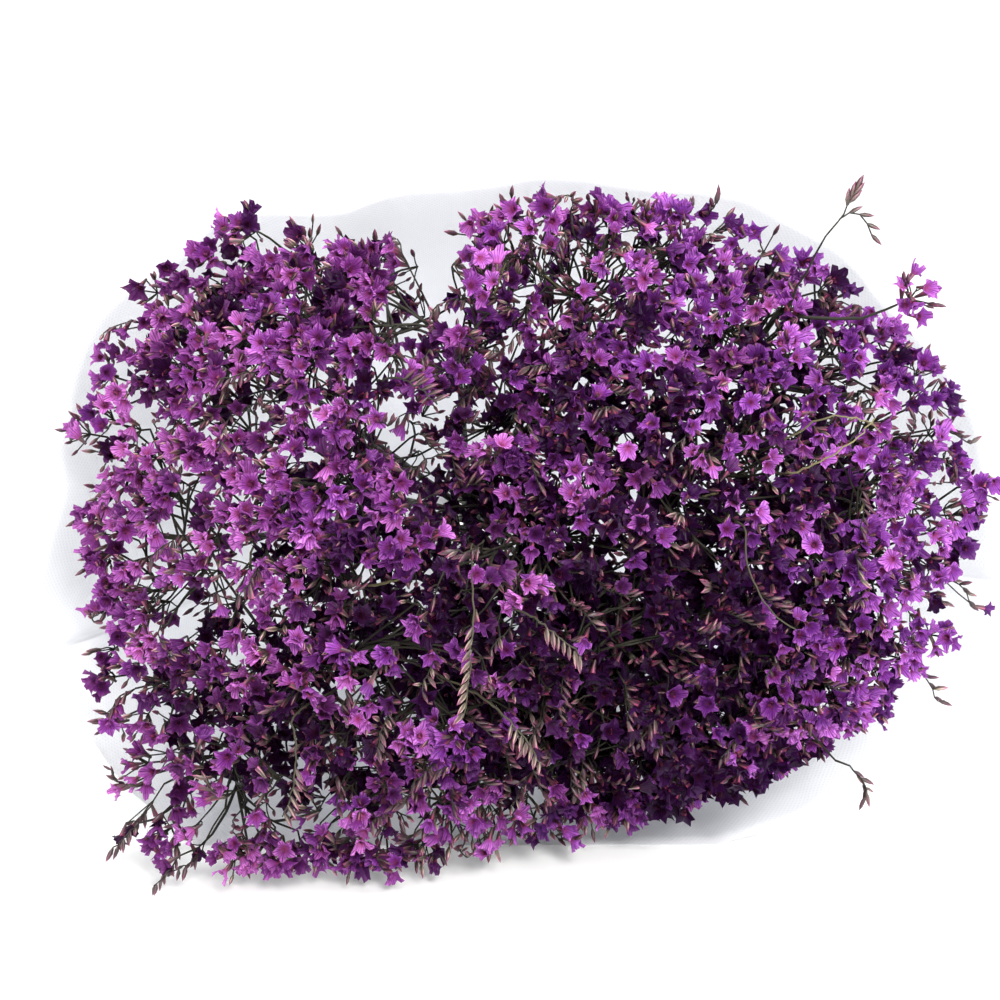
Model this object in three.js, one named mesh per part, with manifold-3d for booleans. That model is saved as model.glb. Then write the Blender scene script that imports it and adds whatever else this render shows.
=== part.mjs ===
// A bunch of dried caspia lying on its side, with its flower head towards -Y and its cut stem ends
// towards +Y, in a conical sleeve of white non-woven cloth that a rubber band gathers at the neck.
// Millimetres, +Z up. The bunch lies on the surface at z = 0: on a flat spot of the sleeve at the
// origin, on two points of the sleeve's rim and on the cut end of the lowest stem.
import * as THREE from 'three';
import Module from 'manifold-3d';

const wasm = await Module();
wasm.setup();

// The bunch's middle line runs straight from the cut stem ends up to the middle of the head
const HEAD_CENTRE = new THREE.Vector3(0, -100, 103);
const STEM_END_CENTRE = new THREE.Vector3(-38, 400, 10.95);
const NECK_Y = 230;

// Head: how far the florets reach from its centre, by the angle in degrees from +X towards +Z
const HEAD_REACH = [
  [0, 130], [15, 128], [30, 120], [45, 108], [60, 103], [90, 91], [102, 86], [113, 68],
  [121, 92], [135, 116], [150, 127], [165, 129], [180, 127], [200, 132], [215, 142], [228, 134],
  [240, 116], [270, 95], [300, 98], [315, 109], [330, 120], [345, 126],
];
const HEAD_FRONT_Y = -145;
const HEAD_DOME_DEPTH = 58;
const HEAD_DOME_POWER = 2.2;
const HEAD_LAYER_DEPTH = 46;
// Low on its left the head's edge hangs further forward: the middle of that stretch and half its
// width, in degrees as in HEAD_REACH, and how far forward it hangs
const DROOP = { angle: 236, halfWidth: 44, reach: 24 };
const EDGE_LAYER_SHARE = 0.55;

// Sleeve: the reach of its rim from the middle line, as HEAD_REACH above
const RIM_Y = -60;
const RIM_REACH = [
  [12, 137], [35, 124], [53, 117], [78, 104], [98, 100], [117, 105], [136, 125], [153, 136],
  [175, 133], [191, 144], [207, 141], [225, 137], [250, 112], [275, 104], [302, 113], [317, 122],
  [333, 132], [347, 142],
];
const SLEEVE_NECK_RADIUS = 11.4;
const SLEEVE_NECK_HALF_LENGTH = 9;
const STEM_BEND_MARGIN = 2;
const SLEEVE_END_Y = 266;
const SLEEVE_END_RADIUS = 19;
const SLEEVE_THICKNESS = 0.9;
const SLEEVE_BELL = 0.62;
const PLEAT_DEPTH = 1.5;
const SLEEVE_SIDES = 40;
const SLEEVE_STEPS = [0, 0.07, 0.18, 0.34, 0.52, 0.737, 0.836, 1];
const SLEEVE_END_STEPS = [1, 0.5, 0];

// The sleeve's underside stays a little above the surface, except at these corners, given by the
// number of the side and the step that they lie on: a flat spot of four, and two on the rim
const UNDERSIDE_LIFT = 0.7;
const REST_CORNERS = [
  { side: 30, step: 0.737 }, { side: 31, step: 0.737 },
  { side: 30, step: 0.836 }, { side: 31, step: 0.836 },
  { side: 26, step: 1 }, { side: 33, step: 1 },
];

// Rubber band round the gathered neck
const BAND_WIDTH = 12;
const BAND_THICKNESS = 1.8;
const BAND_CROWN = 0.4;
const BAND_CLEARANCE = 0.3;
const BAND_SIDES = 36;

// Sprays: one stem in the middle, then rings of stems, at a share of the head's reach
const SPRAY_RINGS = [
  { count: 1, share: 0, neckRadius: 0, turn: 0 },
  { count: 5, share: 0.43, neckRadius: 3.55, turn: 0.3 },
  { count: 10, share: 0.82, neckRadius: 7.1, turn: 0.05 },
];
// The sleeve has a pleat pressed in on each stem of the outer ring
const OUTER_RING = SPRAY_RINGS[2];
const PLEAT_TURN = (2 * Math.PI * OUTER_RING.turn) / OUTER_RING.count;
const STEM_FOOT_RADIUS = 1.6;
const STEM_TOP_RADIUS = 1.05;
const STEM_SIDES = 6;
const STEM_SHARES = [0, 0.18, 0.38, 0.6, 0.8, 1];
const STEM_SPREAD = 1.2;
const TAIL_SPREAD = 0.55;
const TAIL_LENGTH_SPREAD = 12;
const STEM_TOP_BEHIND_FRONT = 46;

// Branches, and the larger-than-life florets and buds at their tips
const TIP_COUNT = 702;
const TIP_JITTER = 1.6;
const BRANCH_RADIUS = 1.15;
const TWIG_RADIUS = 0.85;
const BRANCH_SIDES = 3;
const FORK_COSINE = 0.66;
const JOINT_SPACING = 6;
const FORKS_BEFORE_Y = 60;
const TWIG_SHORTEST = 22;
const TWIG_LEAN = 0.4;
const FORK_BALLS = 7;
const JOINTS_TRIED = [0, 3, 7, 12];
const TWIG_STEP = 20;
const TWIG_STATIONS = { least: 2, most: 5 };
const LONG_TWIG = 55;
const FLORET_RADIUS = 9;
const FLORET_SIZES = [1, 0.87, 0.75, 0.64];
const LEAD_SIZE = 0.85;
const FACING = { levelling: 0.3, outward: 0.06, edgeOutward: 0.42, tilt: 0.5 };
const CURVE_HANDLE = 0.34;
const FLORET_NOTCH_SHARE = 0.64;
const FLORET_DEPTH = 7;
const FLORET_THROAT_DEPTH = 2.6;
const FLORET_LOBES = 5;
const BUD_SHARE = 0.14;
const BUD_RADIUS = 1.9;
const BUD_LENGTH = 8;
const BUD_BELLY_SHARE = 0.55;
const BALL_SPACING = 2;
const LOBE_BALL = { out: 0.64, radius: 0.34 };
const MIDDLE_BALL = { back: 0.5, radius: 0.36 };
const CLEARANCE = 0.4;
const FLOOR_CLEARANCE = 0.2;

// Openings in the head, where the photograph shows few florets: x, z and radius from HEAD_CENTRE
const HEAD_GAPS = [
  { x: -31, z: 64, radius: 11 },
  { x: -92, z: -18, radius: 10 },
  { x: -12, z: 30, radius: 7 },
  { x: 84, z: 44, radius: 6 },
];

// Tips that stand out of the head, as x, y and z from HEAD_CENTRE
const LOOSE_TIPS = [
  { x: 83, y: -14, z: 88, bud: true },
  { x: 104, y: -6, z: 66, bud: false },
  { x: -33, y: -12, z: 76, bud: true },
  { x: -112, y: -8, z: -84, bud: true },
  { x: -100, y: -10, z: -93, bud: true },
  { x: -84, y: -4, z: -98, bud: false },
  { x: 92, y: -6, z: -68, bud: true },
];

const SEED = 20261;
const TIP_SEED_STEP = 7919;
const STEM_SEED_STEP = 104729;
const UP = new THREE.Vector3(0, 0, 1);

const COLOURS = {
  spray: { color: 0x7a3f86, roughness: 0.75, metalness: 0 },
  sleeve: { color: 0xf1f2f5, roughness: 0.9, metalness: 0 },
  band: { color: 0xcaa56f, roughness: 0.7, metalness: 0 },
};

// Random draws that depend only on the seed, so that each tip keeps its own
function seededDraws(seed) {
  let state = seed;
  const draw = () => {
    state = (state * 1664525 + 1013904223) % 4294967296;
    return state / 4294967296;
  };
  for (let warmUp = 0; warmUp < 4; warmUp += 1) {
    draw();
  }
  return draw;
}

// The reach at any angle in radians, eased between the listed angles
function reachAt(list, angle) {
  const turn = ((((angle * 180) / Math.PI) % 360) + 360) % 360;
  for (let i = 0; i < list.length; i += 1) {
    const [from, fromReach] = list[i];
    const [next, toReach] = list[(i + 1) % list.length];
    const width = (next - from + 360) % 360;
    const offset = (turn - from + 360) % 360;
    if (offset <= width) {
      const share = offset / width;
      const eased = share * share * (3 - 2 * share);
      return fromReach + (toReach - fromReach) * eased;
    }
  }
  return list[0][1];
}

function middleLineAt(y) {
  const share = (STEM_END_CENTRE.y - y) / (STEM_END_CENTRE.y - HEAD_CENTRE.y);
  return new THREE.Vector3().lerpVectors(STEM_END_CENTRE, HEAD_CENTRE, share);
}

// A closed body lofted through rings of points that may differ in number, with a flat cap at its
// root and a fan to one point at its end
function loft(rings, endPoint) {
  const points = rings.flat().concat(endPoint);
  const starts = [];
  let total = 0;
  for (const ring of rings) {
    starts.push(total);
    total += ring.length;
  }
  const triangles = [];
  for (let i = 1; i < rings[0].length - 1; i += 1) {
    triangles.push(0, i + 1, i);
  }
  for (let r = 0; r < rings.length - 1; r += 1) {
    const near = rings[r].length;
    const far = rings[r + 1].length;
    let i = 0;
    let j = 0;
    while (i < near || j < far) {
      const a = starts[r] + (i % near);
      const b = starts[r + 1] + (j % far);
      if (j >= far || (i < near && (i + 1) / near <= (j + 1) / far)) {
        triangles.push(a, starts[r] + ((i + 1) % near), b);
        i += 1;
      } else {
        triangles.push(a, starts[r + 1] + ((j + 1) % far), b);
        j += 1;
      }
    }
  }
  const last = rings.length - 1;
  const count = rings[last].length;
  for (let i = 0; i < count; i += 1) {
    triangles.push(starts[last] + i, starts[last] + ((i + 1) % count), total);
  }
  return { points, triangles };
}

function toManifold({ points, triangles }) {
  const vertProperties = new Float32Array(points.flatMap((point) => [point.x, point.y, point.z]));
  const triVerts = new Uint32Array(triangles);
  return new wasm.Manifold(new wasm.Mesh({ numProp: 3, vertProperties, triVerts }));
}

function toGeometry(manifold) {
  const mesh = manifold.getMesh();
  const geometry = new THREE.BufferGeometry();
  geometry.setAttribute('position', new THREE.BufferAttribute(mesh.vertProperties, 3));
  geometry.setIndex(new THREE.BufferAttribute(mesh.triVerts, 1));
  geometry.computeVertexNormals();
  return geometry;
}

// Two directions across a stalk. No stalk points straight up, so the first is always level.
function frameAlong(direction) {
  const side = new THREE.Vector3().crossVectors(direction, UP).normalize();
  return { direction, side, rise: new THREE.Vector3().crossVectors(direction, side) };
}

// A ring of points round a stalk: radii are read in turn, so two of them make a star
function ringOn(frame, centre, radii, count, roll) {
  const ring = [];
  for (let i = 0; i < count; i += 1) {
    const angle = roll + (2 * Math.PI * i) / count;
    const radius = radii[i % radii.length];
    const point = centre.clone();
    point.addScaledVector(frame.side, radius * Math.cos(angle));
    point.addScaledVector(frame.rise, radius * Math.sin(angle));
    ring.push(point);
  }
  return ring;
}

// The straight pieces that a stalk is made of: stations on its curve, up to where its head starts
function stationsOn(curve, steps, headLength) {
  const stalkShare = 1 - headLength / curve.getLength();
  const stations = [];
  for (let i = 0; i < steps; i += 1) {
    const share = i / (steps - 1);
    stations.push({
      centre: curve.getPointAt(share * stalkShare),
      frame: frameAlong(curve.getTangentAt(share * stalkShare)),
      share,
    });
  }
  return { stations, end: curve.getPointAt(1), endFrame: frameAlong(curve.getTangentAt(1)) };
}

// A tapered stalk that ends in a pleated funnel floret or in a closed bud
function stalkBody({ stations, end, endFrame }, { from, to, sides, tip, size }) {
  const rings = stations.map((station) => {
    const radius = from + (to - from) * station.share;
    return ringOn(station.frame, station.centre, [radius], sides, tip.roll);
  });
  if (tip.bud) {
    const belly = end.clone().addScaledVector(endFrame.direction, -BUD_LENGTH * BUD_BELLY_SHARE);
    rings.push(ringOn(endFrame, belly, [BUD_RADIUS], sides, tip.roll));
    return toManifold(loft(rings, end));
  }
  const radius = FLORET_RADIUS * size;
  const radii = [radius, radius * FLORET_NOTCH_SHARE];
  rings.push(ringOn(endFrame, end, radii, 2 * FLORET_LOBES, tip.roll));
  const throat = end.clone().addScaledVector(endFrame.direction, -FLORET_THROAT_DEPTH * size);
  return toManifold(loft(rings, throat));
}

// Where each spray's stem stands in the neck and in the head, as x and z from the middle line
function layOutSprays() {
  const sprays = [];
  for (const ring of SPRAY_RINGS) {
    for (let i = 0; i < ring.count; i += 1) {
      const angle = (2 * Math.PI * (i + ring.turn)) / ring.count;
      const reach = ring.share * reachAt(HEAD_REACH, angle);
      const across = new THREE.Vector2(Math.cos(angle), Math.sin(angle));
      sprays.push({
        neck: across.clone().multiplyScalar(ring.neckRadius),
        head: across.clone().multiplyScalar(reach),
        share: ring.share,
        tips: [],
      });
    }
  }
  return sprays;
}

function stemPointAt(spray, y) {
  const point = middleLineAt(y);
  const offset = spray.neck.clone();
  if (y > NECK_Y) {
    const tail = (y - NECK_Y) / (STEM_END_CENTRE.y - NECK_Y);
    offset.multiplyScalar(1 + TAIL_SPREAD * tail);
  } else {
    const spreadStart = NECK_Y - SLEEVE_NECK_HALF_LENGTH;
    const rise = Math.max(0, (spreadStart - y) / (spreadStart - HEAD_CENTRE.y));
    offset.lerp(spray.head, rise ** STEM_SPREAD);
  }
  return point.add(new THREE.Vector3(offset.x, 0, offset.y));
}

function droopAt(share, angle) {
  const away = Math.abs(((THREE.MathUtils.radToDeg(angle) - DROOP.angle + 180) % 360 + 360) % 360 - 180);
  const near = Math.max(0, 1 - (away / DROOP.halfWidth) ** 2);
  return DROOP.reach * near * share ** 3;
}

function headFrontAt(share) {
  return HEAD_FRONT_Y + HEAD_DOME_DEPTH * share ** HEAD_DOME_POWER;
}

// The sleeve is narrow along its gathered neck, then opens like a bell up to its rim
function sleeveReachAt(y, angle) {
  const bellStart = NECK_Y - SLEEVE_NECK_HALF_LENGTH;
  const share = Math.min(1, Math.max(0, (bellStart - y) / (bellStart - RIM_Y)));
  const wide = reachAt(RIM_REACH, angle) - SLEEVE_NECK_RADIUS;
  return SLEEVE_NECK_RADIUS + wide * share ** SLEEVE_BELL;
}

// Keeps a tip above the surface, and inside the sleeve where it is behind the rim
function placeTip(tip) {
  const place = tip.clone();
  const behindRim = place.y > RIM_Y - FLORET_RADIUS;
  const floor = behindRim ? UNDERSIDE_LIFT + SLEEVE_THICKNESS + FLOOR_CLEARANCE : 0;
  if (behindRim) {
    const middle = middleLineAt(place.y);
    const angle = Math.atan2(place.z - middle.z, place.x - middle.x);
    const room = sleeveReachAt(place.y, angle) - SLEEVE_THICKNESS - FLORET_RADIUS - CLEARANCE;
    const reach = Math.hypot(place.z - middle.z, place.x - middle.x);
    const pull = Math.min(1, room / reach);
    place.x = middle.x + (place.x - middle.x) * pull;
    place.z = middle.z + (place.z - middle.z) * pull;
  }
  place.z = Math.max(place.z, floor + FLORET_RADIUS + FLOOR_CLEARANCE);
  return place;
}

// Tips are spaced like the seeds of a sunflower over the head, with a little seeded jitter
function growTips() {
  const goldenAngle = Math.PI * (3 - Math.sqrt(5));
  const tips = [];
  for (let i = 0; i < TIP_COUNT; i += 1) {
    const draw = seededDraws(SEED + TIP_SEED_STEP * i);
    const share = Math.sqrt((i + 0.5) / TIP_COUNT);
    const angle = i * goldenAngle;
    const reach = share * reachAt(HEAD_REACH, angle);
    const x = reach * Math.cos(angle) + TIP_JITTER * (2 * draw() - 1);
    const z = reach * Math.sin(angle) + TIP_JITTER * (2 * draw() - 1);
    const layerDepth = HEAD_LAYER_DEPTH * (1 + (EDGE_LAYER_SHARE - 1) * share);
    const y = headFrontAt(share) - droopAt(share, angle) + layerDepth * draw();
    const bud = draw() < BUD_SHARE;
    const tilt = new THREE.Vector3(draw() - 0.5, draw() - 0.5, draw() - 0.5);
    const roll = 2 * Math.PI * draw();
    const inGap = HEAD_GAPS.some((gap) => Math.hypot(x - gap.x, z - gap.z) < gap.radius);
    if (!inGap) {
      const place = placeTip(new THREE.Vector3(x, y, HEAD_CENTRE.z + z));
      tips.push({ place, share, bud, tilt, roll, loose: false });
    }
  }
  for (const loose of LOOSE_TIPS) {
    const place = placeTip(HEAD_CENTRE.clone().add(new THREE.Vector3(loose.x, loose.y, loose.z)));
    tips.push({ place, share: 1, bud: loose.bud, tilt: new THREE.Vector3(), roll: 0, loose: true });
  }
  return tips;
}

// A floret looks out of the head: forwards in the middle, and more sideways towards the edge
function facingOf(tip) {
  const outward = tip.place.clone().sub(HEAD_CENTRE).setY(0).normalize();
  const facing = new THREE.Vector3(0, -1 + FACING.levelling * tip.share, 0);
  facing.addScaledVector(outward, FACING.outward + FACING.edgeOutward * tip.share ** 2);
  facing.addScaledVector(tip.tilt, FACING.tilt);
  return facing.normalize();
}

function headLengthOf(tip, size) {
  return tip.bud ? BUD_LENGTH : FLORET_DEPTH * size;
}

function behindFloret(tip, size) {
  return tip.place.clone().addScaledVector(facingOf(tip), -headLengthOf(tip, size));
}

// A twig leaves its parent at an angle, then bends round to the way its floret faces
function branchCurve({ point, direction }, tip) {
  const length = point.distanceTo(tip.place);
  const leaving = tip.place.clone().sub(point).normalize().lerp(direction, TWIG_LEAN).normalize();
  return new THREE.CubicBezierCurve3(
    point,
    point.clone().addScaledVector(leaving, CURVE_HANDLE * length),
    tip.place.clone().addScaledVector(facingOf(tip), -CURVE_HANDLE * length),
    tip.place,
  );
}

// Points at even steps along the straight pieces between stations, with their directions
function walk(stations, spacing, visit) {
  for (let i = 0; i + 1 < stations.length; i += 1) {
    const start = stations[i].centre;
    const stretch = stations[i + 1].centre.clone().sub(start);
    const count = Math.ceil(stretch.length() / spacing);
    const direction = stretch.clone().normalize();
    for (let j = 1; j <= count; j += 1) {
      visit(start.clone().addScaledVector(stretch, j / count), direction);
    }
  }
}

// Balls stand for stalks and heads where they are tested against each other
function stalkBalls(stations, radius) {
  const balls = [];
  walk(stations, BALL_SPACING, (centre) => balls.push({ centre, radius }));
  return balls;
}

function headBalls(tip, size) {
  const frame = frameAlong(facingOf(tip));
  const radius = FLORET_RADIUS * size;
  if (tip.bud) {
    const belly = tip.place.clone().addScaledVector(frame.direction, -BUD_LENGTH * BUD_BELLY_SHARE);
    return [{ centre: belly, radius: BUD_RADIUS }];
  }
  const back = MIDDLE_BALL.back * FLORET_DEPTH * size;
  const middle = tip.place.clone().addScaledVector(frame.direction, -back);
  const lobes = ringOn(frame, tip.place, [LOBE_BALL.out * radius], FLORET_LOBES, tip.roll);
  const balls = lobes.map((centre) => ({ centre, radius: LOBE_BALL.radius * radius }));
  balls.push({ centre: middle, radius: MIDDLE_BALL.radius * radius });
  return balls;
}

// Above the surface, and inside the sleeve where the sleeve is round it
function fitsTheSleeve(ball) {
  const needed = ball.radius + CLEARANCE;
  if (ball.centre.y < RIM_Y - needed) {
    return ball.centre.z > ball.radius;
  }
  const middle = middleLineAt(ball.centre.y);
  const across = new THREE.Vector2(ball.centre.x - middle.x, ball.centre.z - middle.z);
  const reach = sleeveReachAt(ball.centre.y, across.angle()) - PLEAT_DEPTH - SLEEVE_THICKNESS;
  const floor = UNDERSIDE_LIFT + SLEEVE_THICKNESS;
  return across.length() + needed < reach && ball.centre.z > floor + needed;
}

function touches(balls, others) {
  return balls.some((ball) => others.some((other) => {
    const reach = ball.radius + other.radius + CLEARANCE;
    return ball.centre.distanceToSquared(other.centre) < reach * reach;
  }));
}

// The stem of a spray, from its cut end to the tip that it runs on to. It bends at the two ends
// of the gathered neck, so it has a station at each.
function mainStem(spray, lead, index) {
  const draw = seededDraws(SEED + STEM_SEED_STEP * (index + 1));
  const endY = STEM_END_CENTRE.y - TAIL_LENGTH_SPREAD * draw();
  const topY = headFrontAt(spray.share) + STEM_TOP_BEHIND_FRONT;
  const neckFrontY = NECK_Y - SLEEVE_NECK_HALF_LENGTH - STEM_BEND_MARGIN;
  const neckBackY = NECK_Y + SLEEVE_NECK_HALF_LENGTH + STEM_BEND_MARGIN;
  const points = [];
  for (const y of [endY, (endY + NECK_Y) / 2, neckBackY]) {
    points.push(stemPointAt(spray, y));
  }
  for (const share of STEM_SHARES) {
    points.push(stemPointAt(spray, neckFrontY + (topY - neckFrontY) * share));
  }
  points.push(behindFloret(lead, LEAD_SIZE));
  const curve = new THREE.CatmullRomCurve3([...points, lead.place], false, 'centripetal');
  const beforeNeck = points.length - 1 - STEM_SHARES.length;
  const stations = points.map((centre, i) => {
    const share = Math.max(0, (i - beforeNeck) / STEM_SHARES.length);
    return { centre, frame: frameAlong(curve.getTangent(i / points.length)), share };
  });
  return { stations, end: lead.place, endFrame: frameAlong(facingOf(lead)) };
}

function shareTips(sprays, tips) {
  for (const tip of tips) {
    const across = new THREE.Vector2(tip.place.x, tip.place.z - HEAD_CENTRE.z);
    let nearest = sprays[0];
    for (const spray of sprays) {
      if (spray.head.distanceTo(across) < nearest.head.distanceTo(across)) {
        nearest = spray;
      }
    }
    tip.across = across.sub(nearest.head);
    nearest.tips.push(tip);
  }
}

// Places on a stalk that a twig may fork from, each with the direction of the stalk there
function jointsOn(stations) {
  const joints = [];
  walk(stations, JOINT_SPACING, (point, direction) => {
    if (point.y < FORKS_BEFORE_Y) {
      joints.push({ point, direction });
    }
  });
  return joints.slice(1, -1);
}

// The joints that let a twig leave its parent at an easy angle, the nearest first
function joinableFrom(joints, tip) {
  const found = [];
  for (const joint of joints) {
    const across = tip.place.clone().sub(joint.point);
    const distance = across.length();
    const leaning = across.dot(joint.direction) / distance;
    if (distance > TWIG_SHORTEST && leaning > FORK_COSINE) {
      found.push({ ...joint, distance });
    }
  }
  found.sort((a, b) => a.distance - b.distance);
  return JOINTS_TRIED.filter((place) => place < found.length).map((place) => found[place]);
}

// The stem of a spray and the floret that it ends in, at the tip nearest to it
function plantStem(spray, index) {
  spray.tips.sort((a, b) => b.loose - a.loose || b.across.length() - a.across.length());
  const lead = spray.tips.pop();
  lead.bud = false;
  const stem = mainStem(spray, lead, index);
  const look = { from: STEM_FOOT_RADIUS, to: STEM_TOP_RADIUS, sides: STEM_SIDES };
  spray.pieces = [stalkBody(stem, { ...look, tip: lead, size: LEAD_SIZE })];
  spray.stalks = stalkBalls(stem.stations, STEM_FOOT_RADIUS);
  spray.heads = headBalls(lead, LEAD_SIZE);
  spray.joints = jointsOn(stem.stations);
}

function reachTip(joint, tip, size) {
  const curve = branchCurve(joint, tip);
  const length = curve.getLength();
  const wanted = Math.round(length / TWIG_STEP);
  const steps = Math.min(TWIG_STATIONS.most, Math.max(TWIG_STATIONS.least, wanted));
  const twig = stationsOn(curve, steps, headLengthOf(tip, size));
  const radius = length > LONG_TWIG ? BRANCH_RADIUS : TWIG_RADIUS;
  return { twig, radius, stalk: stalkBalls(twig.stations, radius), head: headBalls(tip, size) };
}

// Adds a twig to a spray if it stays clear of everything that has grown before
function addTwig(spray, others, tip, size, { twig, radius, stalk, head }) {
  const own = [...stalk, ...head];
  const beyondFork = [...stalk.slice(FORK_BALLS), ...head];
  const clear = own.every(fitsTheSleeve) && !touches(own, others)
    && !touches(own, spray.heads) && !touches(beyondFork, spray.stalks);
  if (clear) {
    const look = { from: radius, to: TWIG_RADIUS, sides: BRANCH_SIDES, tip, size };
    spray.pieces.push(stalkBody(twig, look));
    spray.stalks.push(...stalk);
    spray.heads.push(...head);
    spray.joints.push(...jointsOn(twig.stations));
  }
  return clear;
}

// Twigs to the tips of a spray, the loose and the outermost ones first, each from a near joint
// and each with as large a floret as has room
function growTwigs(spray, others) {
  for (const tip of spray.tips) {
    const joints = joinableFrom(spray.joints, tip);
    FLORET_SIZES.some((size) => joints.some((joint) => {
      return addTwig(spray, others, tip, size, reachTip(joint, tip, size));
    }));
  }
}

function sleevePoint({ y, pleatDepth, flare, share }, side, inset) {
  const angle = PLEAT_TURN + (2 * Math.PI * side) / SLEEVE_SIDES;
  const pleat = -pleatDepth * Math.cos(OUTER_RING.count * (angle - PLEAT_TURN));
  const reach = sleeveReachAt(y, angle) + flare + pleat - inset;
  const rests = REST_CORNERS.some((corner) => corner.side === side && corner.step === share);
  const lowest = rests && inset === 0 ? 0 : UNDERSIDE_LIFT + inset;
  const point = middleLineAt(y);
  point.x += reach * Math.cos(angle);
  point.z = Math.max(lowest, point.z + reach * Math.sin(angle));
  return point;
}

// The sleeve is one sheet of even thickness, open at its rim and at its stem end
function makeSleeve() {
  const skirtStart = NECK_Y + SLEEVE_NECK_HALF_LENGTH;
  const bellStart = NECK_Y - SLEEVE_NECK_HALF_LENGTH;
  const stations = [];
  for (const share of SLEEVE_END_STEPS) {
    const y = skirtStart + (SLEEVE_END_Y - skirtStart) * share;
    const flare = (SLEEVE_END_RADIUS - SLEEVE_NECK_RADIUS) * share;
    stations.push({ y, flare, pleatDepth: PLEAT_DEPTH * (1 + share) });
  }
  for (const share of SLEEVE_STEPS) {
    const y = bellStart + (RIM_Y - bellStart) * share;
    stations.push({ y, flare: 0, pleatDepth: PLEAT_DEPTH * (1 - share) ** 2, share });
  }
  const ringAt = (station, inset) => {
    const ring = [];
    for (let side = 0; side < SLEEVE_SIDES; side += 1) {
      ring.push(sleevePoint(station, side, inset));
    }
    return ring;
  };
  const outer = stations.map((station) => ringAt(station, 0));
  const inner = stations.map((station) => ringAt(station, SLEEVE_THICKNESS)).reverse();
  return closeLoop([...outer, ...inner]);
}

// A ring-shaped body from rings of equal number, the last joined back to the first
function closeLoop(rings) {
  const count = rings[0].length;
  const triangles = [];
  for (let r = 0; r < rings.length; r += 1) {
    const near = r * count;
    const far = ((r + 1) % rings.length) * count;
    for (let i = 0; i < count; i += 1) {
      const next = (i + 1) % count;
      triangles.push(near + i, near + next, far + next, near + i, far + next, far + i);
    }
  }
  return { points: rings.flat(), triangles };
}

function makeBand() {
  const inner = SLEEVE_NECK_RADIUS + PLEAT_DEPTH + BAND_CLEARANCE;
  const outer = inner + BAND_THICKNESS;
  const half = BAND_WIDTH / 2;
  const corners = [
    [outer, half], [outer + BAND_CROWN, 0], [outer, -half], [inner, -half], [inner, half],
  ];
  const rings = corners.map(([radius, along]) => {
    const ring = [];
    for (let i = 0; i < BAND_SIDES; i += 1) {
      const angle = (2 * Math.PI * i) / BAND_SIDES;
      const point = middleLineAt(NECK_Y + along);
      point.x += radius * Math.cos(angle);
      point.z += radius * Math.sin(angle);
      ring.push(point);
    }
    return ring;
  });
  return closeLoop(rings);
}

function nodeFrom(name, geometry, look) {
  const mesh = new THREE.Mesh(geometry, new THREE.MeshStandardMaterial(look));
  mesh.name = name;
  return mesh;
}

const bunch = new THREE.Group();
const sprays = layOutSprays();
shareTips(sprays, growTips());
sprays.forEach(plantStem);
sprays.forEach((spray, index) => {
  const others = sprays.filter((other) => other !== spray);
  growTwigs(spray, others.flatMap((other) => [...other.stalks, ...other.heads]));
  const name = `spray_${String(index + 1).padStart(2, '0')}`;
  bunch.add(nodeFrom(name, toGeometry(wasm.Manifold.union(spray.pieces)), COLOURS.spray));
});
bunch.add(nodeFrom('sleeve', toGeometry(toManifold(makeSleeve())), COLOURS.sleeve));
bunch.add(nodeFrom('band', toGeometry(toManifold(makeBand())), COLOURS.band));

export default bunch;
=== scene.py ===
# A bunch of dried caspia lying on a white surface, in a sleeve of white non-woven cloth that a
# rubber band gathers. The flower head points to -Y, the cut stem ends to +Y, and +Z is up.
# Shapes are worked out in millimetres and written to the meshes in metres.
import math

import bpy
import numpy as np
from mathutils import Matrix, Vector


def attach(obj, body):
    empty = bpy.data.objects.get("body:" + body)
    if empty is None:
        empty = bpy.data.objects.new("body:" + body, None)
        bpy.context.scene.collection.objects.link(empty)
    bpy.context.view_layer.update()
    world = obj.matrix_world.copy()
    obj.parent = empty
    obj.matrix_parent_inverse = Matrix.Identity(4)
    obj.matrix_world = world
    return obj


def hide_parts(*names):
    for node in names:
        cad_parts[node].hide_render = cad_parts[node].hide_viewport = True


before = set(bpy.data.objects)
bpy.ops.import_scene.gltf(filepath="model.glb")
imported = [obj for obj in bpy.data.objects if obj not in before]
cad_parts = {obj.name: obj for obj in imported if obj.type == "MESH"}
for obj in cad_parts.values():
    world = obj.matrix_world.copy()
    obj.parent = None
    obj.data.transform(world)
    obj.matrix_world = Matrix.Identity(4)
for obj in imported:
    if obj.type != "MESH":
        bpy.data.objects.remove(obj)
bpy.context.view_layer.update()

MM = 0.001
UP = np.array([0.0, 0.0, 1.0])
TAU = 2 * math.pi

# ---- The frame's own sizes, which the solids of the bunch are made from ----

HEAD_CENTRE = np.array([0.0, -100.0, 103.0])
STEM_END_CENTRE = np.array([-38.0, 400.0, 10.95])
NECK_Y = 230

HEAD_REACH = [
    (0, 130), (15, 128), (30, 120), (45, 108), (60, 103), (90, 91), (102, 86), (113, 68),
    (121, 92), (135, 116), (150, 127), (165, 129), (180, 127), (200, 132), (215, 142), (228, 134),
    (240, 116), (270, 95), (300, 98), (315, 109), (330, 120), (345, 126),
]
HEAD_FRONT_Y = -145
HEAD_DOME_DEPTH = 58
HEAD_DOME_POWER = 2.2
HEAD_LAYER_DEPTH = 46
DROOP_ANGLE, DROOP_HALF_WIDTH, DROOP_REACH = 236, 44, 24
EDGE_LAYER_SHARE = 0.55

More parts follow.
